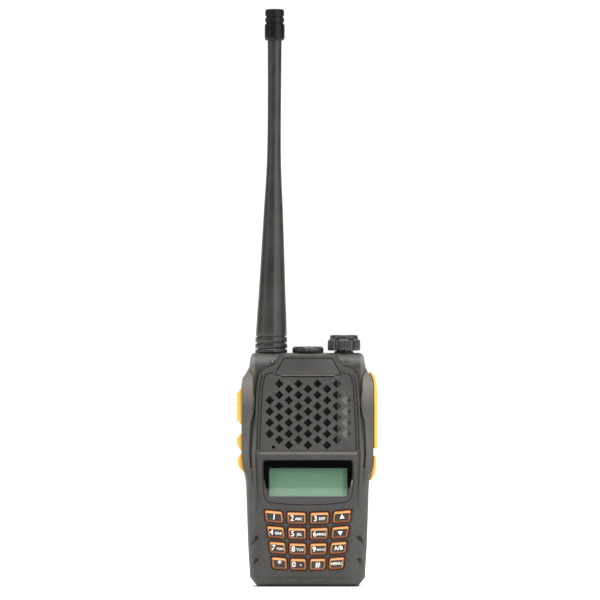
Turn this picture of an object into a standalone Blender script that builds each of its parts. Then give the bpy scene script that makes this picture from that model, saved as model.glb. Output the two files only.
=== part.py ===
"""Hand-held two way radio, built as an assembly of separate parts.

Frame: metres, +Z up. The front faces -Y, +X is on the right seen from the front, and the
origin lies on the flat underside of the case. The sizes in this file are millimetres, which
the mesh helpers turn into metres.
"""

import math

import bmesh
import bpy
from mathutils import Vector

MM = 0.001

# ---- driving dimensions, in millimetres -------------------------------------------------
CASE_TOP = 110.0  # flat roof of the case
WALL = 2.0  # side walls and roof
SEAM = 0.004  # points nearer than this after a Boolean cut are one point
GAP = 0.3  # running gap between neighbouring parts
PANEL_Y = -16.0  # face around the display and the keys
GRILLE_Y = -15.2  # face around the loudspeaker holes
LOWER_Y = -14.0  # face of the lower flanks
RAIL_Y = -12.2  # face of the raised side rails
RAIL_BACK_Y = -8.3  # back edge of the rails' sloping face
SHOULDER_CENTRE = (-2.4, 101.5)  # the shoulders are rounded about this line: (y, z)
SHOULDER_RADIUS = 8.5
CHANNEL_Y = -10.4  # floor beside the rails, and the shoulders
SKIN_Y = -13.6  # inner face of the front wall
HOLLOW_Y = -8.6  # front of the wide hollow
BAY_Y = 2.5  # plane that the battery slides on
BAY_TOP = 84.3
HEAD_BACK = 13.0  # back of the head of the case, above the battery
BATTERY_BACK = 16.0
TOP_AXIS_Y = 2.5  # antenna, torch and volume control stand on this line
ANTENNA_X = -16.9
TORCH_X = 0.4
KNOB_X = 17.4
BUTTON_FRONT_Y = -7.6  # side buttons, front and back edges
BUTTON_BACK_Y = -0.4
SPEAKER_Z = 81.0
WINDOW_FLOOR_Y = -14.5
KEY_PROUD = 1.3  # how far a key stands out of the panel
CLIP_PIN_Y = 18.2
CLIP_PIN_Z = 99.5

# Right-hand half of the case outline seen from the front, from the bottom up: (x, z).
CASE_SIDE = [
    (23.6, 0.0), (27.0, 4.2), (27.9, 20.0), (28.7, 46.0), (29.0, 50.0), (30.5, 56.5),
    (31.0, 61.0), (31.0, 94.5), (30.4, 98.0), (28.4, 101.0), (27.2, 103.4), (26.6, 107.8),
    (25.9, 109.4), (24.8, 110.0),
]

# The raised centre block: height, then its half width at the face, half way down the slope,
# and at its foot.
BLOCK_SIDE = [
    (10.0, 20.4, 24.4, 25.0),
    (20.0, 20.9, 24.9, 25.4),
    (30.0, 21.7, 25.3, 25.8),
    (37.0, 22.4, 25.6, 26.2),
    (41.5, 23.3, 25.8, 26.6),
    (46.0, 24.3, 26.1, 27.0),
    (55.0, 25.0, 25.9, 27.2),
    (64.0, 25.2, 25.9, 27.0),
    (73.0, 24.8, 25.3, 26.2),
    (84.0, 24.4, 24.5, 24.7),
    (92.4, 23.9, 24.1, 24.5),
    (96.8, 23.4, 23.7, 24.2),
]
BLOCK_FOOT = [(17.6, 5.6), (21.4, 3.8), (22.4, 2.6)]
BLOCK_FOOT_CORNER = [(19.7, 7.4), (23.8, 6.8), (24.6, 6.0)]
# Upper corner of the block, then the raised frame round the name plate.
BLOCK_HEAD = [(22.5, 100.0), (20.8, 101.9), (16.6, 103.2), (13.0, 108.3), (12.2, 108.9)]
BLOCK_HEAD_SPREAD = (0.0, 0.35, 0.75)

# Inner edge of the side rails, from the bottom up.
RAIL_EDGE = [
    (26.9, 56.0), (27.5, 62.0), (27.2, 73.0), (26.9, 77.6), (25.5, 81.6), (24.95, 84.5),
    (24.95, 88.8), (25.7, 92.2), (25.7, 96.0), (26.1, 99.0), (27.3, 101.4),
]

# Hollow behind the centre block: (x, z) of its right-hand half.
BLOCK_HOLLOW = [
    (17.8, 6.6), (19.8, 8.4), (22.2, 20.0), (22.9, 30.0), (23.4, 41.0), (23.4, 64.0),
    (22.6, 84.0), (21.8, 96.0), (19.6, 100.4), (15.0, 101.8), (11.4, 106.6),
]

KEY_COLUMNS = [(-20.4, -12.1), (-9.9, -1.1), (1.1, 9.9), (12.1, 20.4)]
KEY_ROW_TOPS = [34.9, 27.6, 20.4, 13.2]
KEY_HEIGHT = 5.2
KEY_SMILE = 0.003  # rows rise by this times x squared
KEY_GAP = 0.4  # wider than other gaps, for the glowing silicone round each key
KEY_TAPER = 0.0072  # rows narrow by this share for each millimetre downwards
KEY_NAMES = [
    "key_1", "key_2", "key_3", "key_up",
    "key_4", "key_5", "key_6", "key_down",
    "key_7", "key_8", "key_9", "key_mode",
    "key_star", "key_0", "key_hash", "key_menu",
]

HOLE_PITCH_X = 4.5
HOLE_PITCH_Z = 5.27
HOLE_HALF_X = 1.95
HOLE_HALF_Z = 1.97

FINISHES = {
    "case_plastic": ((0.105, 0.100, 0.095), 0.55, 0.0),
    "badge_plastic": ((0.085, 0.082, 0.080), 0.5, 0.0),
    "speaker_cloth": ((0.010, 0.010, 0.010), 0.95, 0.0),
    "black_plastic": ((0.020, 0.020, 0.021), 0.5, 0.0),
    "antenna_rubber": ((0.022, 0.021, 0.021), 0.5, 0.0),
    "knob_rubber": ((0.025, 0.025, 0.026), 0.6, 0.0),
    "side_rubber": ((0.85, 0.47, 0.04), 0.5, 0.0),
    "key_plastic": ((0.80, 0.33, 0.09), 0.4, 0.0),
    "keypad_silicone": ((0.09, 0.02, 0.01), 0.6, 0.0),
    "window_plastic": ((0.02, 0.02, 0.02), 0.08, 0.0),
    "display_glass": ((0.16, 0.30, 0.17), 0.25, 0.0),
    "circuit_board": ((0.02, 0.14, 0.05), 0.5, 0.0),
    "cast_aluminium": ((0.62, 0.62, 0.60), 0.45, 1.0),
    "plated_steel": ((0.62, 0.61, 0.59), 0.3, 1.0),
    "brass": ((0.78, 0.56, 0.25), 0.3, 1.0),
    "chrome_plastic": ((0.75, 0.75, 0.76), 0.08, 1.0),
    "clear_plastic": ((0.80, 0.82, 0.84), 0.08, 0.0),
    "battery_plastic": ((0.030, 0.029, 0.028), 0.6, 0.0),
    "cell_wrap": ((0.05, 0.16, 0.42), 0.4, 0.0),
}


# ---- mesh helpers -----------------------------------------------------------------------
def material(finish):
    found = bpy.data.materials.get(finish)
    if found:
        return found
    colour, roughness, metallic = FINISHES[finish]
    made = bpy.data.materials.new(finish)
    made.use_nodes = True
    shader = made.node_tree.nodes["Principled BSDF"]
    shader.inputs["Base Color"].default_value = (*colour, 1.0)
    shader.inputs["Roughness"].default_value = roughness
    shader.inputs["Metallic"].default_value = metallic
    return made


def add_object(name, bm, finish=None, origin=(0.0, 0.0, 0.0)):
    """Turn a bmesh in millimetres into an object with its origin at the given point."""
    bmesh.ops.remove_doubles(bm, verts=bm.verts, dist=1e-4)
    bmesh.ops.recalc_face_normals(bm, faces=bm.faces)
    bmesh.ops.translate(bm, verts=bm.verts, vec=-Vector(origin))
    bmesh.ops.scale(bm, verts=bm.verts, vec=(MM, MM, MM))
    mesh = bpy.data.meshes.new(name)
    bm.to_mesh(mesh)
    bm.free()
    obj = bpy.data.objects.new(name, mesh)
    obj.location = Vector(origin) * MM
    bpy.context.scene.collection.objects.link(obj)
    if finish:
        mesh.materials.append(material(finish))
        mesh.shade_smooth()
        mesh.set_sharp_from_angle(angle=math.radians(32))
    else:
        obj.hide_render = True
        obj.display_type = "WIRE"
    return obj


def combine(target, tool, operation="DIFFERENCE"):
    change = target.modifiers.new(tool.name, "BOOLEAN")
    change.operation = operation
    change.object = tool
    return target


def add_rings(bm, rings):
    """Skin a stack of closed rings of points and cap both ends."""
    loops = [[bm.verts.new(point) for point in ring] for ring in rings]
    for low, high in zip(loops, loops[1:]):
        for i in range(len(low)):
            j = (i + 1) % len(low)
            bm.faces.new((low[i], low[j], high[j], high[i]))
    bm.faces.new(loops[0])
    bm.faces.new(list(reversed(loops[-1])))


def add_slab(bm, outline, y0, y1):
    """A plate with an (x, z) outline."""
    add_rings(bm, [[(x, y, z) for x, z in outline] for y in (y0, y1)])


def add_layers(bm, layers):
    """A shape skinned over (y, outline) layers."""
    add_rings(bm, [[(x, y, z) for x, z in outline] for y, outline in layers])


def add_profile(bm, outline, x0, x1):
    """A bar with a (y, z) outline that runs along X."""
    add_rings(bm, [[(x, y, z) for y, z in outline] for x in (x0, x1)])


def add_box(bm, low, high):
    corners = [(low[0], low[2]), (high[0], low[2]), (high[0], high[2]), (low[0], high[2])]
    add_slab(bm, corners, low[1], high[1])


def on_axis(axis, centre, radius, angle, along):
    """Point at a radius and angle round an axis. The centre gives the other two coordinates."""
    a = centre[0] + radius * math.cos(angle)
    b = centre[1] + radius * math.sin(angle)
    return {"X": (along, a, b), "Y": (a, along, b), "Z": (a, b, along)}[axis]


def add_turned(bm, axis, centre, path, steps=24, closed=False):
    """Turn a path of (radius, along) points about an axis. A closed path makes a ring."""
    columns = []
    for radius, along in path:
        count = steps if radius > 0 else 1
        ring = [
            bm.verts.new(on_axis(axis, centre, radius, 2 * math.pi * k / steps, along))
            for k in range(count)
        ]
        columns.append(ring)
    pairs = list(zip(columns, columns[1:]))
    if closed:
        pairs.append((columns[-1], columns[0]))
    for low, high in pairs:
        if len(low) == len(high) == 1:
            continue
        for k in range(steps):
            m = (k + 1) % steps
            corners = [low[k % len(low)], low[m % len(low)], high[m % len(high)], high[k % len(high)]]
            bm.faces.new(list(dict.fromkeys(corners)))


def add_cylinder(bm, axis, centre, radius, start, end, steps=24):
    add_turned(bm, axis, centre, [(0, start), (radius, start), (radius, end), (0, end)], steps)


def mirrored(side):
    """A whole outline from its right-hand half, given from the bottom up."""
    left = [(-x, z) for x, z in reversed(side) if x > 0]
    return list(side) + left


def inset(outline, distance):
    """Move each side of a closed outline inwards by the distance."""
    count = len(outline)
    area = sum(
        outline[i][0] * outline[(i + 1) % count][1] - outline[(i + 1) % count][0] * outline[i][1]
        for i in range(count)
    )
    turn = 1 if area > 0 else -1
    normals = []
    for i in range(count):
        run = Vector(outline[(i + 1) % count]) - Vector(outline[i])
        run.normalize()
        normals.append(Vector((-run.y, run.x)) * turn)
    moved = []
    for i in range(count):
        before, after = normals[i - 1], normals[i]
        shift = (before + after) * (distance / (1 + before.dot(after)))
        moved.append(tuple(Vector(outline[i]) + shift))
    return moved


def rounded(outline, radius, steps=2):
    """Round the corners of a closed outline."""
    made = []
    count = len(outline)
    for i in range(count):
        corner = Vector(outline[i])
        before = (Vector(outline[i - 1]) - corner).normalized() * radius
        after = (Vector(outline[(i + 1) % count]) - corner).normalized() * radius
        for k in range(steps + 1):
            t = k / steps
            made.append(tuple(corner + before * (1 - t) ** 2 + after * t ** 2))
    return made


def rectangle(x0, x1, z0, z1):
    return [(x0, z0), (x1, z0), (x1, z1), (x0, z1)]


# ---- outlines that several parts share --------------------------------------------------
def case_outline():
    return mirrored(CASE_SIDE)


def block_outline(level):
    """Outline of the centre block: level 0 is its face, 1 half way down, 2 its foot."""
    side = [BLOCK_FOOT[level], BLOCK_FOOT_CORNER[level]]
    side += [(row[1 + level], row[0]) for row in BLOCK_SIDE]
    spread = BLOCK_HEAD_SPREAD[level]
    side += [(x + spread, z + 0.6 * spread) for x, z in BLOCK_HEAD]
    return mirrored(side)


def window_outline():
    top = rounded([(21.5, 60.2), (-21.5, 60.2), (-21.5, 50.0), (21.5, 50.0)], 2.4, 4)[:10]
    lower_left = [(-21.3, 47.0), (-20.7, 42.6), (-19.6, 40.4), (-17.6, 39.5)]
    sag = [(x, 38.3 + 1.2 * (x / 17.6) ** 2) for x in (-11.0, -4.0, 4.0, 11.0)]
    lower_right = [(-x, z) for x, z in reversed(lower_left)]
    return top + lower_left + sag + lower_right


def name_plate_outline():
    return mirrored([(15.4, 99.8), (14.6, 101.6), (11.5, 106.9), (10.9, 107.4)])


def key_outline(column, row, grow=0.0):
    """A key's outline: the rows curve upwards at their ends and narrow towards the bottom."""
    left, right = KEY_COLUMNS[column]
    top = KEY_ROW_TOPS[row]
    corners = []
    for u, z in ((left, top - KEY_HEIGHT), (right, top - KEY_HEIGHT), (right, top), (left, top)):
        x = u * (1 - KEY_TAPER * (KEY_ROW_TOPS[0] - z))
        corners.append((x, z + KEY_SMILE * x * x))
    return rounded(inset(corners, -grow), 0.7 + 0.5 * grow)


def speaker_holes():
    """Centres of the diamond holes and how each ends: open, half open or blind."""
    holes = []
    for column in range(-4, 5):
        if column % 2:
            rows, top = 6, 95.5
        elif abs(column) == 4:
            rows, top = 4, 93.0 - HOLE_PITCH_Z
        else:
            rows, top = 6, 93.0
        for row in range(rows):
            ending = {3: "half", 4: "blind"}.get(column, "open")
            holes.append((column * HOLE_PITCH_X, top - row * HOLE_PITCH_Z, ending))
    return holes


def diamond(x, z, half_x, half_z):
    return [(x + half_x, z), (x, z + half_z), (x - half_x, z), (x, z - half_z)]


# ---- the front case ---------------------------------------------------------------------
def case_blank():
    """Outer body of the case before anything is cut from it."""
    outline = case_outline()
    bm = bmesh.new()
    layers = [
        (LOWER_Y, inset(outline, 2.5)),
        (LOWER_Y + 0.8, inset(outline, 1.1)),
        (RAIL_Y + 0.3, inset(outline, 0.35)),
        (RAIL_Y + 1.4, outline),
        (HEAD_BACK - 2.0, outline),
        (HEAD_BACK - 0.6, inset(outline, 0.6)),
        (HEAD_BACK, inset(outline, 1.8)),
    ]
    add_layers(bm, layers)
    return add_object("front_case", bm, "case_plastic")


def cut_outer_steps(case):
    """The battery bay, the rails, the channel beside them and the sloping shoulders."""
    bm = bmesh.new()
    add_box(bm, (-40, BAY_Y, -5), (40, 20, BAY_TOP))
    combine(case, add_object("cut_battery_bay", bm))

    bm = bmesh.new()
    step = [(-20, 47), (LOWER_Y - 0.01, 47), (RAIL_Y, 57), (RAIL_Y, 120), (-20, 120)]
    add_profile(bm, step, -40, 40)
    combine(case, add_object("cut_rail_face", bm))

    bm = bmesh.new()
    side = RAIL_EDGE + [(28.8, 102.0), (40.0, 102.6), (40.0, 120.0)]
    add_slab(bm, mirrored(side), -20, CHANNEL_Y)
    combine(case, add_object("cut_channel", bm))

    for sign in (-1, 1):
        bm = bmesh.new()
        rings = []
        for z, shift in ((44.0, 8.0), (60.0, 0.0), (120.0, 0.0)):
            corners = [(24.9, -20.0), (24.9, -13.1), (31.9, RAIL_BACK_Y), (40.0, RAIL_BACK_Y), (40.0, -20.0)]
            rings.append([(sign * (x + shift), y, z) for x, y in corners])
        add_rings(bm, rings)
        combine(case, add_object("cut_rail_slope", bm))

    bm = bmesh.new()
    centre_y, centre_z = SHOULDER_CENTRE
    arc = []
    for k in range(9):
        angle = math.pi - k * math.pi / 16
        arc.append((centre_y + SHOULDER_RADIUS * math.cos(angle),
                    centre_z + SHOULDER_RADIUS * math.sin(angle)))
    add_profile(bm, [(-16, centre_z)] + arc + [(centre_y, 114), (-16, 114)], -40, 40)
    combine(case, add_object("cut_shoulder", bm))


def add_centre_block(case):
    bm = bmesh.new()
    face = block_outline(0)
    layers = [
        (PANEL_Y, inset(face, 0.5)),
        (PANEL_Y + 0.35, face),
        (LOWER_Y + 0.1, block_outline(1)),
        (HOLLOW_Y - 1.0, block_outline(2)),
    ]
    add_layers(bm, layers)
    combine(case, add_object("centre_block", bm), "UNION")

    bm = bmesh.new()
    step = [
        (-20, 61.6), (PANEL_Y - 0.2, 61.6), (PANEL_Y, 62.0), (GRILLE_Y, 63.6),
        (GRILLE_Y, 120), (-20, 120),
    ]
    add_profile(bm, step, -40, 40)
    combine(case, add_object("cut_grille_face", bm))


def hollow_out(case):
    outline = inset(case_outline(), WALL)
    bm = bmesh.new()
    side = [(x, z) for x, z in outline if x > 0 and z < 102]
    add_slab(bm, mirrored(side + [(24.9, 104.6)]), HOLLOW_Y, BAY_Y + 0.6)
    combine(case, add_object("cut_wide_hollow", bm))

    bm = bmesh.new()
    side = [(x - 0.2, z) for x, z in outline if x > 0 and 90 < z < 107]
    side = [(side[0][0], BAY_TOP + WALL)] + side + [(24.0, CASE_TOP - WALL - 0.2)]
    add_slab(bm, mirrored(side), HOLLOW_Y + 3, HEAD_BACK - WALL)
    combine(case, add_object("cut_head_hollow", bm))

    bm = bmesh.new()
    add_slab(bm, mirrored(BLOCK_HOLLOW), SKIN_Y, HOLLOW_Y + 1)
    combine(case, add_object("cut_block_hollow", bm))


def side_strip(offset, width, low, high):
    """Outline of a groove that follows the block's right-hand edge at an offset."""
    edge = [(row[1], row[0]) for row in BLOCK_SIDE if low < row[0]] + BLOCK_HEAD[:3]
    edge = [(25.2, low)] + [point for point in edge if point[1] <= high]
    strips = []
    for distance in (offset, offset + width):
        line = []
        for i, point in enumerate(edge):
            before = Vector(edge[max(i - 1, 0)])
            after = Vector(edge[min(i + 1, len(edge) - 1)])
            run = (after - before).normalized()
            line.append(tuple(Vector(point) + Vector((-run.y, run.x)) * distance))
        strips.append(line)
    return strips[0] + list(reversed(strips[1]))


def cut_face_details(case):
    """Recesses and grooves in the face."""
    bm = bmesh.new()
    add_slab(bm, window_outline(), -20, WINDOW_FLOOR_Y)
    plate = inset(name_plate_outline(), -GAP)
    add_layers(bm, [(-20, plate), (GRILLE_Y, plate), (-14.3, plate)])
    for offset, top in ((0.75, 101.0), (2.05, 103.3)):
        strip = side_strip(offset, 0.65, 64.4, top)
        add_slab(bm, strip, -20, GRILLE_Y + 0.6)
        add_slab(bm, [(-x, z) for x, z in strip], -20, GRILLE_Y + 0.6)
    combine(case, add_object("cut_face_recesses", bm))

    bm = bmesh.new()
    ledge = [(-20, 98.5), (GRILLE_Y, 98.5), (-14.6, 99.4), (-14.6, 100.2), (-20, 100.2)]
    add_profile(bm, ledge, -14.4, 14.4)
    combine(case, add_object("cut_plate_ledge", bm))


def cut_openings(case):
    """Everything that goes through the front wall."""
    bm = bmesh.new()
    add_slab(bm, rectangle(-18.7, 18.7, 42.2, 56.0), -16, SKIN_Y + 1)
    for row in range(4):
        for column in range(4):
            hole = key_outline(column, row, KEY_GAP)
            mouth = key_outline(column, row, KEY_GAP + 0.15)
            layers = [(-18, mouth), (PANEL_Y - 0.1, mouth), (PANEL_Y + 0.35, hole), (SKIN_Y + 1, hole)]
            add_layers(bm, layers)
    for x, z, ending in speaker_holes():
        mouth = diamond(x, z, HOLE_HALF_X + 0.4, HOLE_HALF_Z + 0.4)
        hole = diamond(x, z, HOLE_HALF_X, HOLE_HALF_Z)
        layers = [(-17, mouth), (GRILLE_Y - 0.05, mouth)]
        if ending == "open":
            layers += [(GRILLE_Y + 0.35, hole), (SKIN_Y + 1, hole)]
        elif ending == "half":
            layers += [(GRILLE_Y + 0.35, hole), (GRILLE_Y + 1.1, diamond(x - 0.1, z, 1.75, 1.75))]
        else:
            layers += [(GRILLE_Y + 0.95, diamond(x + 1.1, z, 0.8, 0.8))]
        add_layers(bm, layers)
    add_cylinder(bm, "Y", (-16.2, 65.7), 0.8, -17, SKIN_Y + 1, 12)
    add_cylinder(bm, "Y", LAMP, 1.1, -14, HOLLOW_Y + 4, 16)
    combine(case, add_object("cut_front_openings", bm))

    bm = bmesh.new()
    for x, z, ending in speaker_holes():
        if ending == "half":
            half = [(x + 0.3, z + 1.2), (x - 0.3, z + 1.4), (x - 1.6, z), (x - 0.3, z - 1.4),
                    (x + 0.3, z - 1.2)]
            add_slab(bm, half, GRILLE_Y + 0.6, SKIN_Y + 1)
    combine(case, add_object("cut_half_holes", bm))

    bm = bmesh.new()
    for sign in (-1, 1):
        for low, high in (((27.2, 19.2), (23.8, 23.8)), ((26.6, 9.6), (23.8, 13.4))):
            run = (Vector(high) - Vector(low)).normalized()
            across = Vector((-run.y, run.x))
            layers = []
            for y, half in ((-15.0, 1.35), (-13.25, 0.3)):
                corners = [Vector(low) + across * half, Vector(low) - across * half,
                           Vector(high) - across * half, Vector(high) + across * half]
                layers.append((y, [(sign * corner.x, corner.y) for corner in corners]))
            add_layers(bm, layers)
    combine(case, add_object("cut_grip_notches", bm))

    bm = bmesh.new()
    top = (CASE_TOP - WALL - 1, CASE_TOP + 2)
    add_cylinder(bm, "Z", (ANTENNA_X, TOP_AXIS_Y), 3.5, *top)
    add_cylinder(bm, "Z", (TORCH_X, TOP_AXIS_Y), 6.3, *top, 32)
    add_cylinder(bm, "Z", (KNOB_X, TOP_AXIS_Y), 3.9, *top)
    combine(case, add_object("cut_roof_holes", bm))

    bm = bmesh.new()
    for _, low, high in SIDE_BUTTONS:
        add_box(bm, (-34, BUTTON_FRONT_Y - GAP, low - GAP), (-26, BUTTON_BACK_Y + GAP, high + GAP))
    for z, radius in JACKS:
        add_cylinder(bm, "X", (JACK_Y, z), radius + 1.2, 26, 34, 20)
    add_box(bm, (26, JACK_Y - 2.3, 54.7), (34, JACK_Y + 2.3, 59.3))
    combine(case, add_object("cut_side_openings", bm))

    bm = bmesh.new()
    add_box(bm, (-6.3, HEAD_BACK - 4, 87.0), (6.3, HEAD_BACK + 3, 93.4))
    for x in CLIP_SCREW_X:
        add_cylinder(bm, "Y", (x, CLIP_SCREW_Z), 1.3, HEAD_BACK - 4, HEAD_BACK + 3, 16)
    combine(case, add_object("cut_back_openings", bm))


LAMP = (-16.6, 105.6)  # status lamp: (x, z)
SIDE_BUTTONS = [("ptt_button", 76.2, 93.2), ("call_button", 63.9, 71.9), ("monitor_button", 53.9, 62.3)]
JACK_Y = -4.0
JACKS = [(88.0, 1.8), (78.0, 1.3)]  # height and socket radius
CLIP_SCREW_X = (-5.5, 5.5)
CLIP_SCREW_Z = 104.3


def front_case():
    case = case_blank()
    cut_outer_steps(case)
    add_centre_block(case)
    hollow_out(case)
    cut_face_details(case)
    cut_openings(case)
    return case


# ---- face parts -------------------------------------------------------------------------
def face_parts():
    bm = bmesh.new()
    add_layers(bm, [(-15.05, inset(name_plate_outline(), 0.25)), (-14.85, name_plate_outline()),
                    (-14.6, name_plate_outline())])
    add_object("name_plate", bm, "badge_plastic")

    bm = bmesh.new()
    window = inset(window_outline(), 0.2)
    add_layers(bm, [(-16.3, inset(window, 0.9)), (-16.15, inset(window, 0.3)),
                    (-15.9, window), (WINDOW_FLOOR_Y - GAP, window)])
    add_object("display_window", bm, "window_plastic")

    bm = bmesh.new()
    add_box(bm, (-20.4, -13.2, 40.6), (20.4, -11.9, 58.2))
    add_object("display_panel", bm, "display_glass")

    bm = bmesh.new()
    add_box(bm, (-20.4, -11.6, 40.2), (20.4, -9.6, 58.6))
    add_object("display_backlight", bm, "chrome_plastic")

    bm = bmesh.new()
    add_slab(bm, mirrored([(17.3, 7.4), (20.3, 14.0), (21.6, 39.0)]), -11.7, -10.8)
    add_object("keypad_mat", bm, "keypad_silicone")


def keys():
    """Sixteen keys, each with a flange that the front wall holds in."""
    for number, name in enumerate(KEY_NAMES):
        row, column = divmod(number, 4)
        outline = key_outline(column, row)
        face = PANEL_Y - KEY_PROUD
        flange_front, flange_back = SKIN_Y + GAP, SKIN_Y + 0.85
        flange = key_outline(column, row, KEY_GAP + 0.22)
        bm = bmesh.new()
        layers = [
            (face, inset(outline, 0.3)), (face + 0.3, outline), (flange_front, outline),
            (flange_front, flange), (flange_back, flange),
        ]
        add_layers(bm, layers)
        centre = sum((Vector(point) for point in outline), Vector((0, 0))) / len(outline)
        add_object(name, bm, "key_plastic", (centre.x, PANEL_Y, centre.y))


# ---- sound parts ------------------------------------------------------------------------
def sound_parts():
    centre = (0.0, SPEAKER_Z)
    bm = bmesh.new()
    add_slab(bm, rounded(rectangle(-20.2, 20.2, 65.0, 97.6), 2.0), SKIN_Y + GAP, SKIN_Y + 0.55)
    add_object("grille_cloth", bm, "speaker_cloth")

    bm = bmesh.new()
    basket = [
        (17.0, -12.6), (17.0, -11.2), (15.6, -10.6), (9.6, -7.2), (9.6, -6.4), (3.4, -6.4),
        (3.4, -7.4), (8.8, -7.8), (14.6, -11.4), (15.4, -12.6),
    ]
    add_turned(bm, "Y", centre, basket, 32, closed=True)
    add_object("speaker_frame", bm, "plated_steel")

    bm = bmesh.new()
    cone = [(0, -10.4), (5.0, -10.2), (13.9, -12.4), (14.6, -12.7), (15.0, -12.5),
            (14.1, -11.8), (5.2, -9.5), (0, -9.6)]
    add_turned(bm, "Y", centre, cone, 32)
    add_object("speaker_cone", bm, "black_plastic")

    bm = bmesh.new()
    add_cylinder(bm, "Y", centre, 9.0, -6.1, -4.8, 32)
    add_object("speaker_magnet", bm, "plated_steel")

    bm = bmesh.new()
    add_cylinder(bm, "Y", (-16.2, 65.7), 2.2, -12.5, -10.2, 20)
    add_object("microphone", bm, "plated_steel")


# ---- boards and chassis -----------------------------------------------------------------
def boards():
    bm = bmesh.new()
    add_slab(bm, rounded(rectangle(-23.6, 23.6, 6.0, 103.0), 3.0), -4.4, -3.2)
    add_object("main_board", bm, "circuit_board")

    bm = bmesh.new()
    add_box(bm, (-18, -2.9, 14), (18, -0.2, 62))
    can = add_object("shield_can", bm, "plated_steel")
    bm = bmesh.new()
    add_box(bm, (-17.4, -4.0, 14.6), (17.4, -0.8, 61.4))
    combine(can, add_object("cut_shield_can", bm))

    bm = bmesh.new()
    plate = [(x, min(z, 83.4)) for x, z in inset(case_outline(), WALL + 0.4) if z < 90]
    top = max(x for x, z in plate)
    plate = [p for p in plate if p[1] < 62] + [(-top, 83.4), (top, 83.4)]
    right = sorted((p for p in plate if p[0] > 0), key=lambda p: p[1])
    add_slab(bm, mirrored(right), 0.4, BAY_Y - 0.2)
    chassis = add_object("rear_chassis", bm, "cast_aluminium")
    bm = bmesh.new()
    add_box(bm, (-8.3, -1, 5.0), (8.3, 4, 11.0))
    for x in (-16.0, 0.0, 16.0):
        add_box(bm, (x - 5.5, BAY_Y - 1.0, 18.0), (x + 5.5, 4, 76.0))
    combine(chassis, add_object("cut_chassis", bm))

    bm = bmesh.new()
    add_box(bm, (-8.0, -2.9, 5.3), (8.0, BAY_Y - 0.2, 10.7))
    add_object("battery_contact_block", bm, "black_plastic")

    bm = bmesh.new()
    add_box(bm, (-25.2, -7.6, 53.0), (-24.4, 0.0, 94.0))
    board = add_object("side_switch_board", bm, "circuit_board")
    bm = bmesh.new()
    for _, low, high in SIDE_BUTTONS:
        middle = (low + high) / 2
        add_cylinder(bm, "X", (JACK_Y, middle), 1.6, -25.8, -24.8, 12)
    combine(board, add_object("side_switches", bm), "UNION")


# ---- side parts -------------------------------------------------------------------------
def case_edge(z):
    """Half width of the case at a height."""
    for (x0, z0), (x1, z1) in zip(CASE_SIDE, CASE_SIDE[1:]):
        if z0 <= z <= z1:
            return x0 + (x1 - x0) * (z - z0) / (z1 - z0)
    return CASE_SIDE[-1][0]


def side_bar(bm, outer, y0, y1, soft=0.7):
    """A bar with an (x, z) outline and softened front and back edges."""
    layers = [(y0, inset(outer, soft * 0.4)), (y0 + soft, outer), (y1 - soft, outer),
              (y1, inset(outer, soft * 0.4))]
    add_layers(bm, layers)


def side_button(name, low, high):
    """A button that stands out of the left wall, with a flange inside."""
    middle = (low + high) / 2
    ends = [(-(case_edge(high) - 0.4), high), (-(case_edge(low) - 0.4), low)]
    crown = [(-(case_edge(low) + 0.6), low), (-(case_edge(low + 2.6) + 2.0), low + 2.6),
             (-(case_edge(high - 2.6) + 2.2), high - 2.6), (-(case_edge(high) + 0.6), high)]
    bm = bmesh.new()
    add_layers(bm, [
        (BUTTON_FRONT_Y, inset(ends + crown, 0.35)),
        (BUTTON_FRONT_Y + 0.8, ends + crown),
        (BUTTON_BACK_Y - 0.8, ends + crown),
        (BUTTON_BACK_Y, inset(ends + crown, 0.35)),
    ])
    button = add_object(name, bm, "side_rubber", (-31.0, JACK_Y, middle))
    bm = bmesh.new()
    root = case_edge(low) + 0.3
    inner = min(case_edge(low), case_edge(high)) - WALL - GAP
    front, back = BUTTON_FRONT_Y, BUTTON_BACK_Y
    add_box(bm, (-root, front + 0.4, low + 0.4), (0.4 - inner, back - 0.4, high - 0.4))
    combine(button, add_object(name + "_stem", bm), "UNION")
    bm = bmesh.new()
    add_box(bm, (-inner, front - 0.6, low - 0.5), (0.8 - inner, back + 0.4, high + 0.5))
    combine(button, add_object(name + "_flange", bm), "UNION")


def side_parts():
    for name, low, high in SIDE_BUTTONS:
        side_button(name, low, high)

    bm = bmesh.new()
    inner = [(case_edge(z) + GAP, z) for z in (65.0, 94.6, 98.0, 100.4)]
    outer = [(29.7, 101.3), (31.7, 99.0), (32.5, 95.2), (32.8, 90.6), (32.8, 66.0), (32.4, 65.0)]
    side_bar(bm, inner + outer, BUTTON_FRONT_Y - 0.6, BUTTON_BACK_Y + 0.6)
    hinge = (31.35, JACK_Y, 65.2)
    cover = add_object("jack_cover", bm, "side_rubber", hinge)
    for z, radius in JACKS:
        bm = bmesh.new()
        add_cylinder(bm, "X", (JACK_Y, z), radius + 0.5, 29.9, 32.05, 16)
        combine(cover, add_object("cover_plug", bm), "UNION")

    bm = bmesh.new()
    inner = [(case_edge(z) + GAP, z) for z in (50.2, 56.5, 61.0, 61.4)]
    outer = [(32.3, 61.4), (32.4, 57.0), (31.7, 52.8), (30.3, 50.2)]
    side_bar(bm, inner + outer, BUTTON_FRONT_Y - 0.6, BUTTON_BACK_Y + 0.6)
    anchor = add_object("cover_anchor", bm, "side_rubber")
    bm = bmesh.new()
    add_box(bm, (27.6, JACK_Y - 2, 55), (31.4, JACK_Y + 2, 59))
    combine(anchor, add_object("cover_anchor_stud", bm), "UNION")

    bm = bmesh.new()
    add_box(bm, (24.4, -8.2, 72.5), (28.6, 0.1, 93.5))
    block = add_object("jack_block", bm, "black_plastic")
    bm = bmesh.new()
    for z, radius in JACKS:
        add_cylinder(bm, "X", (JACK_Y, z), radius, 25.2, 30.0, 20)
    combine(block, add_object("cut_jack_sockets", bm))


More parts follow.
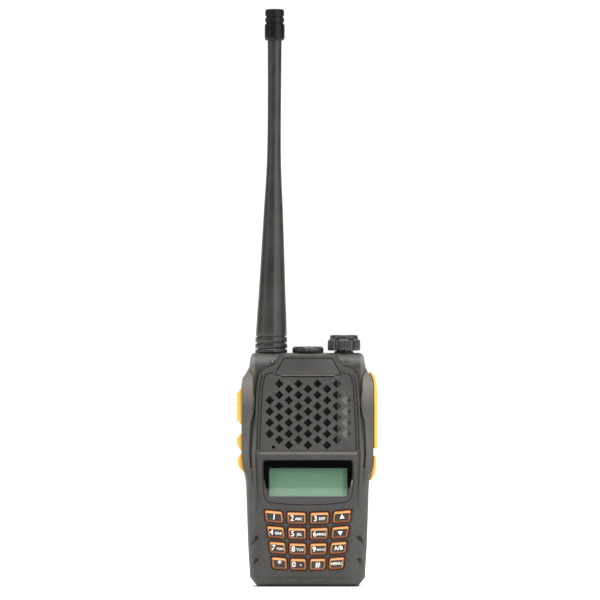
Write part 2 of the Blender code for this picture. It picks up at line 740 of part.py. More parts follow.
# ---- top parts --------------------------------------------------------------------------
def fluted_ring(centre, radius, depth, lobes, z, steps):
    """A ring of points whose radius dips between the lobes."""
    points = []
    for k in range(steps):
        angle = 2 * math.pi * k / steps
        dip = max(0.0, math.cos(lobes * angle)) ** 6
        points.append(on_axis("Z", centre, radius - depth * dip, angle, z))
    return points


def volume_control():
    centre = (KNOB_X, TOP_AXIS_Y)
    origin = (KNOB_X, TOP_AXIS_Y, CASE_TOP)
    bm = bmesh.new()
    rings = [(7.3, 0.4, 110.9), (7.8, 0.8, 111.4), (7.8, 0.9, 116.4), (7.2, 0.8, 117.0),
             (6.6, 0.3, 117.2), (6.5, 0.3, 118.0), (5.9, 0.2, 118.5)]
    add_rings(bm, [fluted_ring(centre, r, d, 6, z, 48) for r, d, z in rings])
    knob = add_object("volume_knob", bm, "knob_rubber", origin)
    bm = bmesh.new()
    hollow = [(0, 116.8), (2.5, 116.8), (2.5, 112.9), (4.8, 112.9), (4.8, 110.0), (0, 110.0)]
    add_turned(bm, "Z", centre, hollow, 24)
    combine(knob, add_object("cut_knob_hollow", bm))

    bm = bmesh.new()
    add_cylinder(bm, "Z", centre, 2.2, 100.0, 116.4, 20)
    add_object("volume_shaft", bm, "plated_steel", origin)

    bm = bmesh.new()
    add_box(bm, (KNOB_X - 5.2, TOP_AXIS_Y - 5, 97.5), (KNOB_X + 5.2, TOP_AXIS_Y + 5, 106.5))
    pot = add_object("volume_control", bm, "plated_steel")
    bm = bmesh.new()
    add_cylinder(bm, "Z", centre, 3.6, 105, 112.2, 24)
    combine(pot, add_object("volume_bushing", bm), "UNION")
    bm = bmesh.new()
    add_cylinder(bm, "Z", centre, 2.5, 99.7, 115, 20)
    combine(pot, add_object("cut_volume_bore", bm))


def torch():
    centre = (TORCH_X, TOP_AXIS_Y)
    bm = bmesh.new()
    rings = [(6.7, 0.1, 110.3), (7.4, 0.6, 110.7), (7.4, 0.6, 111.9), (6.7, 0.3, 112.6)]
    add_rings(bm, [fluted_ring(centre, r, d, 8, z, 48) for r, d, z in rings])
    bezel = add_object("torch_bezel", bm, "black_plastic", (TORCH_X, TOP_AXIS_Y, CASE_TOP))
    bm = bmesh.new()
    add_cylinder(bm, "Z", centre, 6.0, 104.0, 111.0, 32)
    combine(bezel, add_object("torch_barrel", bm), "UNION")
    bm = bmesh.new()
    add_cylinder(bm, "Z", centre, 5.2, 103.0, 114.0, 32)
    combine(bezel, add_object("cut_torch_bore", bm))

    bm = bmesh.new()
    lens = [(0, 111.0), (4.9, 111.0), (4.9, 111.8), (3.4, 112.15), (0, 112.3)]
    add_turned(bm, "Z", centre, lens, 32)
    add_object("torch_lens", bm, "clear_plastic")

    bm = bmesh.new()
    bowl = [(1.6, 105.3), (2.6, 106.4), (3.8, 108.2), (4.5, 110.7), (4.9, 110.7),
            (4.9, 109.9), (4.4, 107.9), (3.2, 105.8), (2.2, 104.7), (1.6, 104.7)]
    add_turned(bm, "Z", centre, bowl, 32, closed=True)
    add_object("torch_reflector", bm, "chrome_plastic")

    bm = bmesh.new()
    add_turned(bm, "Z", centre, [(0, 103.2), (1.3, 103.2), (1.3, 106.0), (0.7, 106.6), (0, 106.8)], 16)
    add_object("torch_led", bm, "clear_plastic")


def antenna():
    centre = (ANTENNA_X, TOP_AXIS_Y)
    origin = (ANTENNA_X, TOP_AXIS_Y, CASE_TOP)
    bm = bmesh.new()
    socket = [(0, 105.9), (5.0, 105.9), (5.0, 107.6), (3.1, 107.6), (3.1, 117.4), (1.2, 117.4),
              (1.2, 111.5), (0, 111.5)]
    add_turned(bm, "Z", centre, socket, 24)
    add_object("antenna_socket", bm, "brass")

    bm = bmesh.new()
    core = [(0, 112.6), (0.8, 112.6), (0.8, 118.3), (3.4, 118.3), (3.4, 110.8), (4.1, 110.8),
            (4.1, 119.4), (1.5, 119.4), (1.5, 250.0), (0, 250.0)]
    add_turned(bm, "Z", centre, core, 20)
    add_object("antenna_core", bm, "brass", origin)

    bm = bmesh.new()
    inside = [(0, 250.4), (1.85, 250.4), (1.85, 119.8), (4.4, 119.8), (4.4, 110.3)]
    rings = [(7.1, 110.3), (7.6, 110.8), (7.6, 111.9), (7.1, 112.3), (7.1, 112.7), (7.6, 113.1),
             (7.6, 116.2), (7.1, 116.6), (7.1, 117.0), (7.5, 117.4), (7.5, 118.6), (7.2, 119.0)]
    taper = [(7.15, 120.0), (6.4, 136.0), (5.45, 157.0), (4.4, 179.0), (3.5, 194.0),
             (3.08, 204.0), (2.9, 222.0), (2.95, 240.0), (3.2, 257.0), (3.2, 261.4), (0, 261.4)]
    add_turned(bm, "Z", centre, inside + rings + taper, 28)
    add_object("antenna_sleeve", bm, "antenna_rubber", origin)

    bm = bmesh.new()
    cap = [(0, 261.8), (3.5, 261.8), (3.5, 257.3), (4.0, 257.3), (4.75, 258.4), (4.75, 264.4),
           (4.4, 264.8), (4.1, 265.3), (4.1, 265.7), (4.5, 266.1), (4.5, 267.5), (4.1, 267.9),
           (4.1, 268.3), (4.5, 268.7), (4.5, 271.4), (3.9, 272.2), (0, 272.3)]
    add_turned(bm, "Z", centre, cap, 24)
    add_object("antenna_cap", bm, "antenna_rubber", origin)

    bm = bmesh.new()
    lamp = [(0, -9.9), (0.5, -9.85), (0.85, -9.5), (0.85, -6.4), (0, -6.4)]
    add_turned(bm, "Y", LAMP, lamp, 16)
    add_object("status_lamp", bm, "clear_plastic")


# ---- battery ----------------------------------------------------------------------------
def battery():
    top = BAY_TOP - 0.4
    front = BAY_Y + GAP
    side = [(23.0, 0.0), (26.4, 4.2), (27.3, 20.0), (27.9, 46.0), (28.1, 60.0), (28.1, top)]
    outline = mirrored(side)
    origin = (0.0, front, 0.0)
    bm = bmesh.new()
    add_layers(bm, [(front, outline), (BATTERY_BACK - 3.4, outline),
                    (BATTERY_BACK - 1.0, inset(outline, 0.9)), (BATTERY_BACK, inset(outline, 2.8))])
    shell = add_object("battery_case", bm, "battery_plastic", origin)
    bm = bmesh.new()
    add_slab(bm, inset(outline, 1.6), front - 3, BATTERY_BACK - 1.6)
    combine(shell, add_object("cut_battery_hollow", bm))

    bm = bmesh.new()
    add_slab(bm, inset(outline, 1.6 + GAP), front, front + 1.4)
    add_object("battery_cover", bm, "battery_plastic", origin)

    bm = bmesh.new()
    add_slab(bm, rounded(rectangle(-24.5, 24.5, 6.0, 78.0), 2.5), front + 1.9, BATTERY_BACK - 2.2)
    add_object("battery_cell", bm, "cell_wrap", origin)

    bm = bmesh.new()
    add_slab(bm, rounded(rectangle(-6.0, 6.0, 87.3, 91.3), 0.8), HEAD_BACK - 2.6, HEAD_BACK + 0.9)
    latch = add_object("battery_latch", bm, "black_plastic", (0.0, HEAD_BACK, 89.3))
    bm = bmesh.new()
    add_box(bm, (-7.4, HEAD_BACK - 3.4, 86.7), (7.4, HEAD_BACK - WALL - GAP, 94.2))
    combine(latch, add_object("latch_flange", bm), "UNION")


# ---- belt clip --------------------------------------------------------------------------
def belt_clip():
    plate_front, plate_back = HEAD_BACK + GAP, HEAD_BACK + 1.9
    pin = (CLIP_PIN_Y, CLIP_PIN_Z)
    bm = bmesh.new()
    add_slab(bm, rounded(rectangle(-9.5, 9.5, 93.6, 107.2), 1.2), plate_front, plate_back)
    bracket = add_object("clip_bracket", bm, "black_plastic")
    bm = bmesh.new()
    ear = [(plate_back - 0.8, 94.6), (19.4, 96.2), (21.2, 98.2), (21.2, 100.8), (19.4, 102.8),
           (plate_back - 0.8, 105.4)]
    for x0, x1 in ((-9.4, -7.9), (7.9, 9.4)):
        add_profile(bm, ear, x0, x1)
    combine(bracket, add_object("clip_ears", bm), "UNION")
    bm = bmesh.new()
    add_cylinder(bm, "X", pin, 1.25, -12, 12, 20)
    for x in CLIP_SCREW_X:
        add_cylinder(bm, "Y", (x, CLIP_SCREW_Z), 1.3, 10, 18, 16)
    combine(bracket, add_object("cut_bracket_holes", bm))

    bm = bmesh.new()
    inner = [(20.6, 103.4), (20.6, 60.0), (19.7, 50.5), (17.2, 44.4), (16.7, 42.6), (17.6, 39.6)]
    outer = [(18.9, 38.8), (18.5, 42.2), (19.0, 43.8), (21.2, 49.8), (22.2, 60.0), (22.2, 103.6),
             (21.6, 107.6), (20.0, 107.8)]
    add_profile(bm, inner + outer, -7.5, 7.5)
    lever = add_object("clip_lever", bm, "black_plastic", (0.0, CLIP_PIN_Y, CLIP_PIN_Z))
    bm = bmesh.new()
    add_cylinder(bm, "X", pin, 2.9, -7.4, 7.4, 24)
    combine(lever, add_object("clip_knuckle", bm), "UNION")
    bm = bmesh.new()
    add_cylinder(bm, "X", pin, 1.25, -12, 12, 20)
    combine(lever, add_object("cut_knuckle_bore", bm))
    bm = bmesh.new()
    add_box(bm, (-3.0, 14.0, 95.0), (3.0, 20.5, 104.0))
    combine(lever, add_object("cut_knuckle_gap", bm))

    bm = bmesh.new()
    add_cylinder(bm, "X", pin, 0.95, -9.8, 9.8, 20)
    add_object("clip_pin", bm, "plated_steel", (0.0, CLIP_PIN_Y, CLIP_PIN_Z))

    clip_spring()
    for side, x in zip(("left", "right"), CLIP_SCREW_X):
        bm = bmesh.new()
        screw = [(0, 16.3), (1.2, 16.25), (1.8, 15.9), (1.8, 15.2), (1.0, 15.2), (1.0, 9.4), (0, 9.0)]
        add_turned(bm, "Y", (x, CLIP_SCREW_Z), screw, 16)
        add_object("clip_screw_" + side, bm, "plated_steel")


def clip_spring():
    """Torsion spring wound round the pin, between the lever's two knuckles."""
    turns, points_a_turn, radius, wire, half_length = 4, 10, 1.72, 0.3, 2.2
    count = turns * points_a_turn + 1
    rings = []
    for k in range(count):
        angle = 2 * math.pi * k / points_a_turn
        along = half_length * (2 * k / (count - 1) - 1)
        ring = []
        for side in range(6):
            turn = 2 * math.pi * side / 6
            reach = radius + wire * math.cos(turn)
            centre = (CLIP_PIN_Y, CLIP_PIN_Z)
            ring.append(on_axis("X", centre, reach, angle, along + wire * math.sin(turn)))
        rings.append(ring)
    bm = bmesh.new()
    add_rings(bm, rings)
    add_object("clip_spring", bm, "plated_steel", (0.0, CLIP_PIN_Y, CLIP_PIN_Z))


def tidy_cuts():
    """Close the hairline seams that Boolean cuts leave between neighbouring points."""
    for obj in bpy.data.objects:
        if any(change.type == "BOOLEAN" for change in obj.modifiers):
            seam = obj.modifiers.new("close_seams", "WELD")
            seam.merge_threshold = SEAM * MM


def main():
    for obj in list(bpy.data.objects):
        bpy.data.objects.remove(obj)
    front_case()
    face_parts()
    keys()
    sound_parts()
    boards()
    side_parts()
    volume_control()
    torch()
    antenna()
    battery()
    belt_clip()
    tidy_cuts()


main()
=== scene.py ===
"""Looks of the hand-held two way radio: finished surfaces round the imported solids.

Everything is in metres in the solids' own frame: +Z up, the display faces -Y, +X to the
right seen from the front. Lengths written in millimetres are multiplied by MM.
"""

import math

import bpy
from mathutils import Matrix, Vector


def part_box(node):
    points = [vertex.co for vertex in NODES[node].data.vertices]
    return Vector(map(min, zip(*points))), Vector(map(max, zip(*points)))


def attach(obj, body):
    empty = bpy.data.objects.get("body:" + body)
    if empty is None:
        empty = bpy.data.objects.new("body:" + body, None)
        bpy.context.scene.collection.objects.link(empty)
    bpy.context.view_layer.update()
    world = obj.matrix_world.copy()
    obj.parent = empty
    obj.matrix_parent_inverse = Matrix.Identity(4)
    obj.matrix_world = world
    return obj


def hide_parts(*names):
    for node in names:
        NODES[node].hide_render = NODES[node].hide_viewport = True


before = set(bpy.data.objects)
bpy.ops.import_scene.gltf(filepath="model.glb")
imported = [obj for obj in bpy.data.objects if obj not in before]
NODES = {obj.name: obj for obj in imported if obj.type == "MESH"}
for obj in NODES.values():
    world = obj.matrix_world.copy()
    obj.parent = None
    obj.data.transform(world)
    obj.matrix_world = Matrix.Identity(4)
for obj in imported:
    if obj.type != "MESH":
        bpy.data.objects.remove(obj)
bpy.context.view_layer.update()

MM = 0.001


def middle(node):
    """Centre of a solid's box."""
    low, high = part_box(node)
    return (low + high) / 2


# Upright axes that the turned pieces share, read from the solids.
KNOB = middle("volume_knob")
TORCH = middle("torch_bezel")
ANTENNA = middle("antenna_sleeve")


# ---- materials --------------------------------------------------------------------------
# Places of the Mix node's sockets for colours: share, lower colour, upper colour, result.
SHARE, UNDER, OVER, MIXED = 0, 6, 7, 2


def linear(hex_colour):
    """Linear RGBA of an sRGB hex colour."""
    parts = [int(hex_colour[i:i + 2], 16) / 255 for i in (1, 3, 5)]
    return [c / 12.92 if c <= 0.04045 else ((c + 0.055) / 1.055) ** 2.4 for c in parts] + [1.0]


def add_node(tree, kind, settings=None, links=None):
    """Add a node. Settings name its properties or sockets; links name sockets to feed."""
    node = tree.nodes.new(kind)
    for key, value in (settings or {}).items():
        if isinstance(key, str) and hasattr(node, key):
            setattr(node, key, value)
        else:
            node.inputs[key].default_value = value
    for key, (source, output) in (links or {}).items():
        tree.links.new(source.outputs[output], node.inputs[key])
    return node


def new_material(name):
    """A material with one shader, and the node that gives object coordinates."""
    made = bpy.data.materials.new(name)
    made.use_nodes = True
    tree = made.node_tree
    shader = tree.nodes["Principled BSDF"]
    place = add_node(tree, "ShaderNodeTexCoord")
    return made, tree, shader, place


def ramp(tree, source, output, stops):
    """Colour ramp over a texture's value."""
    node = add_node(tree, "ShaderNodeValToRGB", links={"Fac": (source, output)})
    while len(node.color_ramp.elements) < len(stops):
        node.color_ramp.elements.new(0.5)
    for element, (position, colour) in zip(node.color_ramp.elements, stops):
        element.position = position
        element.color = colour
    return node


def shade(level):
    """A grey for a ramp that drives roughness, a share or a factor."""
    return [level, level, level, 1.0]


def mix_colours(tree, under, over, share=1.0, blend="MIX"):
    """Lay a colour over another. A (node, output) pair is linked and a fixed value is set."""
    mix = add_node(tree, "ShaderNodeMix", {"data_type": "RGBA", "blend_type": blend}, {UNDER: under})
    for socket, given in ((SHARE, share), (OVER, over)):
        if isinstance(given, tuple):
            tree.links.new(given[0].outputs[given[1]], mix.inputs[socket])
        else:
            mix.inputs[socket].default_value = given
    return mix


def moulded(name, low, high, rough, grain_mm, depth_mm, edge_mm=0.0, fleck=0.0):
    """Injection moulded plastic or rubber.

    The tool's spark-eroded texture gives a fine grain that scatters the light, and handling
    leaves faint broad patches. The two colours are the ends of that slow variation. Fleck
    is how far dust in the grain's hollows lightens or darkens the colour, and edge_mm rounds
    the edges in the shading alone.
    """
    made, tree, shader, place = new_material(name)
    patch_size, dust_size = 9.0 * MM, 0.9 * MM
    patches = add_node(tree, "ShaderNodeTexNoise", {"Scale": 1 / patch_size, "Detail": 3.0},
                       {"Vector": (place, "Object")})
    colour = ramp(tree, patches, "Fac", [(0.3, linear(low)), (0.7, linear(high))])
    if fleck:
        dust = add_node(tree, "ShaderNodeTexNoise",
                        {"Scale": 1 / dust_size, "Detail": 3.0, "Roughness": 0.7},
                        {"Vector": (place, "Object")})
        dusty = ramp(tree, dust, "Fac", [(0.36, shade(1 - fleck)), (0.66, shade(1 + fleck))])
        colour = mix_colours(tree, (colour, "Color"), (dusty, "Color"), blend="MULTIPLY")
        tree.links.new(colour.outputs[MIXED], shader.inputs["Base Color"])
    else:
        tree.links.new(colour.outputs["Color"], shader.inputs["Base Color"])
    gloss = ramp(tree, patches, "Fac", [(0.25, shade(rough - 0.05)), (0.75, shade(rough + 0.06))])
    tree.links.new(gloss.outputs["Color"], shader.inputs["Roughness"])
    grain = add_node(tree, "ShaderNodeTexNoise", {"Scale": 1 / (grain_mm * MM), "Detail": 2.0},
                     {"Vector": (place, "Object")})
    bump = add_node(tree, "ShaderNodeBump", {"Strength": 0.6, "Distance": depth_mm * MM},
                    {"Height": (grain, "Fac")})
    if edge_mm:
        edge = add_node(tree, "ShaderNodeBevel", {"samples": 6, "Radius": edge_mm * MM})
        tree.links.new(edge.outputs["Normal"], bump.inputs["Normal"])
    tree.links.new(bump.outputs["Normal"], shader.inputs["Normal"])
    return made


def plain_metal(name, hex_colour, rough, line_mm, squash):
    """Plated or turned metal: fine lines from the tool that stretch the highlights."""
    made, tree, shader, place = new_material(name)
    turn = add_node(tree, "ShaderNodeMapping", {"Scale": squash}, {"Vector": (place, "Object")})
    lines = add_node(tree, "ShaderNodeTexNoise", {"Scale": 1 / (line_mm * MM), "Detail": 2.0},
                     {"Vector": (turn, "Vector")})
    gloss = ramp(tree, lines, "Fac", [(0.3, shade(rough - 0.06)), (0.7, shade(rough + 0.08))])
    tree.links.new(gloss.outputs["Color"], shader.inputs["Roughness"])
    low = [c * 0.86 for c in linear(hex_colour)[:3]] + [1.0]
    colour = ramp(tree, lines, "Fac", [(0.3, low), (0.7, linear(hex_colour))])
    tree.links.new(colour.outputs["Color"], shader.inputs["Base Color"])
    bump = add_node(tree, "ShaderNodeBump", {"Strength": 0.3, "Distance": 0.01 * MM},
                    {"Height": (lines, "Fac")})
    tree.links.new(bump.outputs["Normal"], shader.inputs["Normal"])
    shader.inputs["Metallic"].default_value = 1.0
    return made


def clear_moulding(name, tint, rough, alpha):
    """Clear polycarbonate or acrylic. Faint flow marks from the mould vary its polish."""
    made, tree, shader, place = new_material(name)
    flow = add_node(tree, "ShaderNodeTexNoise", {"Scale": 1 / (4.0 * MM), "Detail": 2.0},
                    {"Vector": (place, "Object")})
    gloss = ramp(tree, flow, "Fac", [(0.3, shade(rough)), (0.7, shade(rough + 0.04))])
    tree.links.new(gloss.outputs["Color"], shader.inputs["Roughness"])
    shader.inputs["Base Color"].default_value = linear(tint)
    shader.inputs["Alpha"].default_value = alpha
    shader.inputs["IOR"].default_value = 1.58
    return made


def window_material():
    """Polished acrylic window, printed black on the back except over the display.

    The print's edge is where the clear part starts; the polished front carries the same
    sharp reflections over both. Only outer faces reflect, so that the display shows from the side.
    """
    made, tree, shader, place = new_material("acrylic_window_printed_border")
    split = add_node(tree, "ShaderNodeSeparateXYZ", links={"Vector": (place, "Object")})
    masks = []
    clear_part = (("X", 0.1 * MM, 18.4 * MM), ("Z", 49.2 * MM, 6.7 * MM))
    for axis, mid, half in clear_part:
        offset = add_node(tree, "ShaderNodeMath", {"operation": "SUBTRACT", 1: mid}, {0: (split, axis)})
        distance = add_node(tree, "ShaderNodeMath", {"operation": "ABSOLUTE"}, {0: (offset, "Value")})
        masks.append(add_node(tree, "ShaderNodeMath", {"operation": "GREATER_THAN", 1: half},
                              {0: (distance, "Value")}))
    border = add_node(tree, "ShaderNodeMath", {"operation": "MAXIMUM"},
                      {0: (masks[0], "Value"), 1: (masks[1], "Value")})
    dust = add_node(tree, "ShaderNodeTexNoise", {"Scale": 1 / (6.0 * MM), "Detail": 4.0},
                    {"Vector": (place, "Object")})
    gloss = ramp(tree, dust, "Fac", [(0.35, shade(0.01)), (0.75, shade(0.03))])
    ink = add_node(tree, "ShaderNodeBsdfDiffuse", {"Color": linear("#050505")})
    clear = add_node(tree, "ShaderNodeBsdfTransparent", {"Color": (0.86, 0.88, 0.87, 1.0)})
    behind = add_node(tree, "ShaderNodeMixShader",
                      links={0: (border, "Value"), 1: (clear, "BSDF"), 2: (ink, "BSDF")})
    polish = add_node(tree, "ShaderNodeBsdfGlossy", {"Color": (1.0, 1.0, 1.0, 1.0)},
                      {"Roughness": (gloss, "Color")})
    angle = add_node(tree, "ShaderNodeFresnel", {"IOR": 1.57})
    side = add_node(tree, "ShaderNodeNewGeometry")
    outside = add_node(tree, "ShaderNodeMath", {"operation": "SUBTRACT", 0: 1.0}, {1: (side, "Backfacing")})
    share = add_node(tree, "ShaderNodeMath", {"operation": "MULTIPLY"},
                     {0: (angle, "Fac"), 1: (outside, "Value")})
    surface = add_node(tree, "ShaderNodeMixShader",
                       links={0: (share, "Value"), 1: (behind, "Shader"), 2: (polish, "BSDF")})
    output = tree.nodes["Material Output"]
    tree.links.new(surface.outputs["Shader"], output.inputs["Surface"])
    tree.nodes.remove(shader)
    return made


def display_material():
    """Reflective liquid crystal panel: grey green, lighter at its foot as a painted reflection and darkest
    at the top as painted shade.
    """
    made, tree, shader, place = new_material("liquid_crystal_panel")
    split = add_node(tree, "ShaderNodeSeparateXYZ", links={"Vector": (place, "Object")})
    height = add_node(tree, "ShaderNodeMapRange", {"From Min": 42.0 * MM, "From Max": 56.2 * MM},
                      {"Value": (split, "Z")})
    # Painted reflection lightens the foot; painted shade darkens the top, under the window's border.
    colour = ramp(tree, height, "Result", [(0.0, linear("#92B69A")), (0.36, linear("#71957A")),
                                           (0.93, linear("#63866B")), (1.0, linear("#496852"))])
    tree.links.new(colour.outputs["Color"], shader.inputs["Base Color"])
    film = add_node(tree, "ShaderNodeTexNoise", {"Scale": 1 / (0.3 * MM), "Detail": 1.0},
                    {"Vector": (place, "Object")})
    gloss = ramp(tree, film, "Fac", [(0.3, shade(0.3)), (0.7, shade(0.42))])
    tree.links.new(gloss.outputs["Color"], shader.inputs["Roughness"])
    return made


def cloth_material():
    """Black dust cloth behind the loudspeaker holes, woven at 0.5 mm."""
    made, tree, shader, place = new_material("polyester_dust_cloth")
    heights = []
    for turn in (0.0, math.pi / 2):
        lay = add_node(tree, "ShaderNodeMapping", {"Rotation": (math.pi / 2, 0.0, turn)},
                       {"Vector": (place, "Object")})
        heights.append(add_node(tree, "ShaderNodeTexWave", {"Scale": 0.314 / (0.5 * MM)},
                                {"Vector": (lay, "Vector")}))
    weave = add_node(tree, "ShaderNodeMath", {"operation": "MAXIMUM"},
                     {0: (heights[0], "Fac"), 1: (heights[1], "Fac")})
    colour = ramp(tree, weave, "Value", [(0.3, linear("#030302")), (0.9, linear("#0A0A09"))])
    tree.links.new(colour.outputs["Color"], shader.inputs["Base Color"])
    bump = add_node(tree, "ShaderNodeBump", {"Strength": 0.7, "Distance": 0.1 * MM},
                    {"Height": (weave, "Value")})
    tree.links.new(bump.outputs["Normal"], shader.inputs["Normal"])
    shader.inputs["Roughness"].default_value = 0.95
    return made


def painted_groove_shade(tree, split, side, height, colour):
    """Painted shade: a thin dark line down each side of the display, on the front only.

    It is the shade of a shallow groove that the shell's mesh doesn't have, painted on. The lines stand 21.9
    mm from the middle at the case's foot and part by 0.04 mm for each millimetre of height. They
    run over the stretch that the ramp lets through, given in shares of the case's height.
    """
    slope = add_node(tree, "ShaderNodeMath", {"operation": "MULTIPLY_ADD", 1: -0.04, 2: -21.9 * MM},
                     {0: (split, "Z")})
    offset = add_node(tree, "ShaderNodeMath", {"operation": "ADD"},
                      {0: (side, "Value"), 1: (slope, "Value")})
    distance = add_node(tree, "ShaderNodeMath", {"operation": "ABSOLUTE"}, {0: (offset, "Value")})
    width = add_node(tree, "ShaderNodeMapRange", {"From Min": 0.65 * MM, "From Max": 0.35 * MM},
                     {"Value": (distance, "Value")})
    front = add_node(tree, "ShaderNodeMath", {"operation": "LESS_THAN", 1: -13.0 * MM}, {0: (split, "Y")})
    length = ramp(tree, height, "Result", [(0.33, shade(0.0)), (0.38, shade(0.9)), (0.572, shade(0.9)),
                                           (0.585, shade(0.0))])
    across = add_node(tree, "ShaderNodeMath", {"operation": "MULTIPLY"},
                      {0: (width, "Result"), 1: (front, "Value")})
    line = add_node(tree, "ShaderNodeMath", {"operation": "MULTIPLY"},
                    {0: (across, "Value"), 1: (length, "Color")})
    return mix_colours(tree, colour, linear("#050505"), (line, "Value"))


def case_material():
    """Moulded ABS of the case, with a painted highlight on its rails and painted shade in its corners.

    The rails are what lies more than 24.4 mm from the middle. They are painted paler as a painted
    highlight for the light that falls on them, and how much paler changes with the height.
    """
    made = moulded("abs_moulded_warm_grey", "#2A2825", "#31302C", 0.52, 0.42, 0.08,
                   edge_mm=0.28, fleck=0.38)
    tree = made.node_tree
    shader = tree.nodes["Principled BSDF"]
    colour = shader.inputs["Base Color"].links[0].from_node
    place = add_node(tree, "ShaderNodeTexCoord")
    split = add_node(tree, "ShaderNodeSeparateXYZ", links={"Vector": (place, "Object")})
    side = add_node(tree, "ShaderNodeMath", {"operation": "ABSOLUTE"}, {0: (split, "X")})
    outer = add_node(tree, "ShaderNodeMapRange", {"From Min": 24.4 * MM, "From Max": 25.4 * MM},
                     {"Value": (side, "Value")})
    height = add_node(tree, "ShaderNodeMapRange", {"From Min": 0.0, "From Max": 110.0 * MM},
                      {"Value": (split, "Z")})
    # Painted highlight on the rails: how much paler they are painted changes with the height.
    rail_highlight_by_height = ramp(tree, height, "Result", [(0.40, shade(0.1)), (0.60, shade(0.35)), (0.76, shade(0.2)),
                                           (0.87, shade(1.0)), (0.97, shade(0.5))])
    rail_highlight = add_node(tree, "ShaderNodeMath", {"operation": "MULTIPLY"},
                    {0: (outer, "Result"), 1: (rail_highlight_by_height, "Color")})
    paler = mix_colours(tree, (colour, MIXED), linear("#615D56"), (rail_highlight, "Value"))
    # Painted shade: an ambient occlusion pass darkens the colour in recesses, creases and round holes.
    hollow = add_node(tree, "ShaderNodeAmbientOcclusion", {"samples": 8, "Distance": 1.6 * MM})
    ambient_shade = ramp(tree, hollow, "AO", [(0.35, shade(0.25)), (0.95, shade(1.0))])
    shaded_colour = mix_colours(tree, (paler, MIXED), (ambient_shade, "Color"), blend="MULTIPLY")
    # Painted shade of the grooves beside the display.
    groove_shaded = painted_groove_shade(tree, split, side, height, (shaded_colour, MIXED))
    tree.links.new(groove_shaded.outputs[MIXED], shader.inputs["Base Color"])
    return made


ABS_CASE = case_material()
ABS_PLATE = moulded("abs_name_plate_satin", "#333130", "#3A3836", 0.36, 0.3, 0.01)
# Paler copy of the case's ABS: painted highlight for faces that catch the light.
ABS_PAINTED_HIGHLIGHT = moulded("abs_moulded_painted_highlight", "#454340", "#4D4A46", 0.5, 0.42, 0.05)
ABS_BLACK = moulded("abs_moulded_black", "#1A1918", "#22211F", 0.5, 0.35, 0.04)
ABS_BATTERY = moulded("abs_battery_black", "#262523", "#2E2C2A", 0.55, 0.45, 0.06, fleck=0.25)
RUBBER_ANTENNA = moulded("antenna_rubber_satin", "#22201D", "#2A2825", 0.36, 0.5, 0.02)
RUBBER_CAP = moulded("antenna_cap_rubber_black", "#060605", "#0B0A0A", 0.4, 0.4, 0.02)
RUBBER_CAP.node_tree.nodes["Principled BSDF"].inputs["Specular IOR Level"].default_value = 0.25
RUBBER_KNOB = moulded("knob_soft_touch_rubber", "#2A2927", "#353331", 0.25, 0.3, 0.012)
RUBBER_YELLOW = moulded("side_rubber_yellow", "#C39324", "#CDA032", 0.42, 0.4, 0.03)
KEY_ORANGE = moulded("key_pc_orange_edge", "#BC8048", "#C88C52", 0.38, 0.25, 0.01)
# Darker copy of the key orange: painted shade for the border's downward faces.
KEY_ORANGE_PAINTED_SHADE = moulded("key_pc_orange_painted_shade_lower_edge", "#AC7242", "#B87E4C", 0.38, 0.25, 0.01)
KEY_FACE = moulded("key_face_dark_print", "#1C120E", "#241A16", 0.45, 0.25, 0.01)
KEY_PRINT = moulded("key_legend_white_ink", "#DCD8D0", "#E6E2DA", 0.5, 0.2, 0.005)
SILICONE = moulded("keypad_silicone_red", "#D23A0C", "#E04612", 0.6, 0.4, 0.02)
# Dark copy of the red silicone: painted shade for the key walls inside the gap.
SILICONE_PAINTED_SHADE = moulded("keypad_silicone_painted_shade_dark_red", "#4A1608", "#561C0C", 0.6, 0.4, 0.02)
CLOTH = cloth_material()
WINDOW = window_material()
DISPLAY = display_material()
CLEAR = clear_moulding("acrylic_clear_lens", "#EEF2F4", 0.04, 0.35)
LAMP = clear_moulding("acrylic_lamp_lens", "#6E6B62", 0.3, 0.95)
BOARD = moulded("board_solder_mask_green", "#0E4A26", "#145A30", 0.35, 1.2, 0.02)
ALUMINIUM = plain_metal("aluminium_die_cast", "#A5A4A0", 0.5, 0.8, (1.0, 1.0, 1.0))
STEEL = plain_metal("steel_nickel_plated", "#C8C6C2", 0.28, 0.3, (1.0, 1.0, 0.1))
BRASS = plain_metal("brass_gold_plated", "#D9B25F", 0.25, 0.3, (1.0, 1.0, 0.1))
CHROME = plain_metal("plastic_vacuum_metallised", "#E2E2E4", 0.1, 1.5, (1.0, 1.0, 1.0))
CELL = moulded("cell_shrink_wrap_blue", "#20508F", "#28609F", 0.35, 2.0, 0.02)


# ---- modelling helpers ------------------------------------------------------------------
def deselect_all():
    if bpy.context.mode != "OBJECT":
        bpy.ops.object.mode_set(mode="OBJECT")
    bpy.ops.object.select_all(action="DESELECT")


def make_active(piece):
    deselect_all()
    piece.select_set(True)
    bpy.context.view_layer.objects.active = piece


def edit(piece):
    make_active(piece)
    bpy.ops.object.mode_set(mode="EDIT")
    bpy.ops.mesh.select_mode(type="VERT")


def leave_edit():
    bpy.ops.object.mode_set(mode="OBJECT")


def copy_solid(node, name):
    """A piece with its own copy of a solid's mesh, its triangles joined into flat faces."""
    mesh = NODES[node].data.copy()
    mesh.name = name
    mesh.materials.clear()
    piece = bpy.data.objects.new(name, mesh)
    bpy.context.scene.collection.objects.link(piece)
    edit(piece)
    bpy.ops.mesh.select_all(action="SELECT")
    bpy.ops.mesh.customdata_custom_splitnormals_clear()
    bpy.ops.mesh.remove_doubles(threshold=0.002 * MM)
    bpy.ops.mesh.dissolve_limited(angle_limit=math.radians(0.6))
    leave_edit()
    return piece


def place_at_origin(piece):
    """Put the piece's place, turn and scale into its mesh."""
    make_active(piece)
    bpy.ops.object.transform_apply(location=True, rotation=True, scale=True)


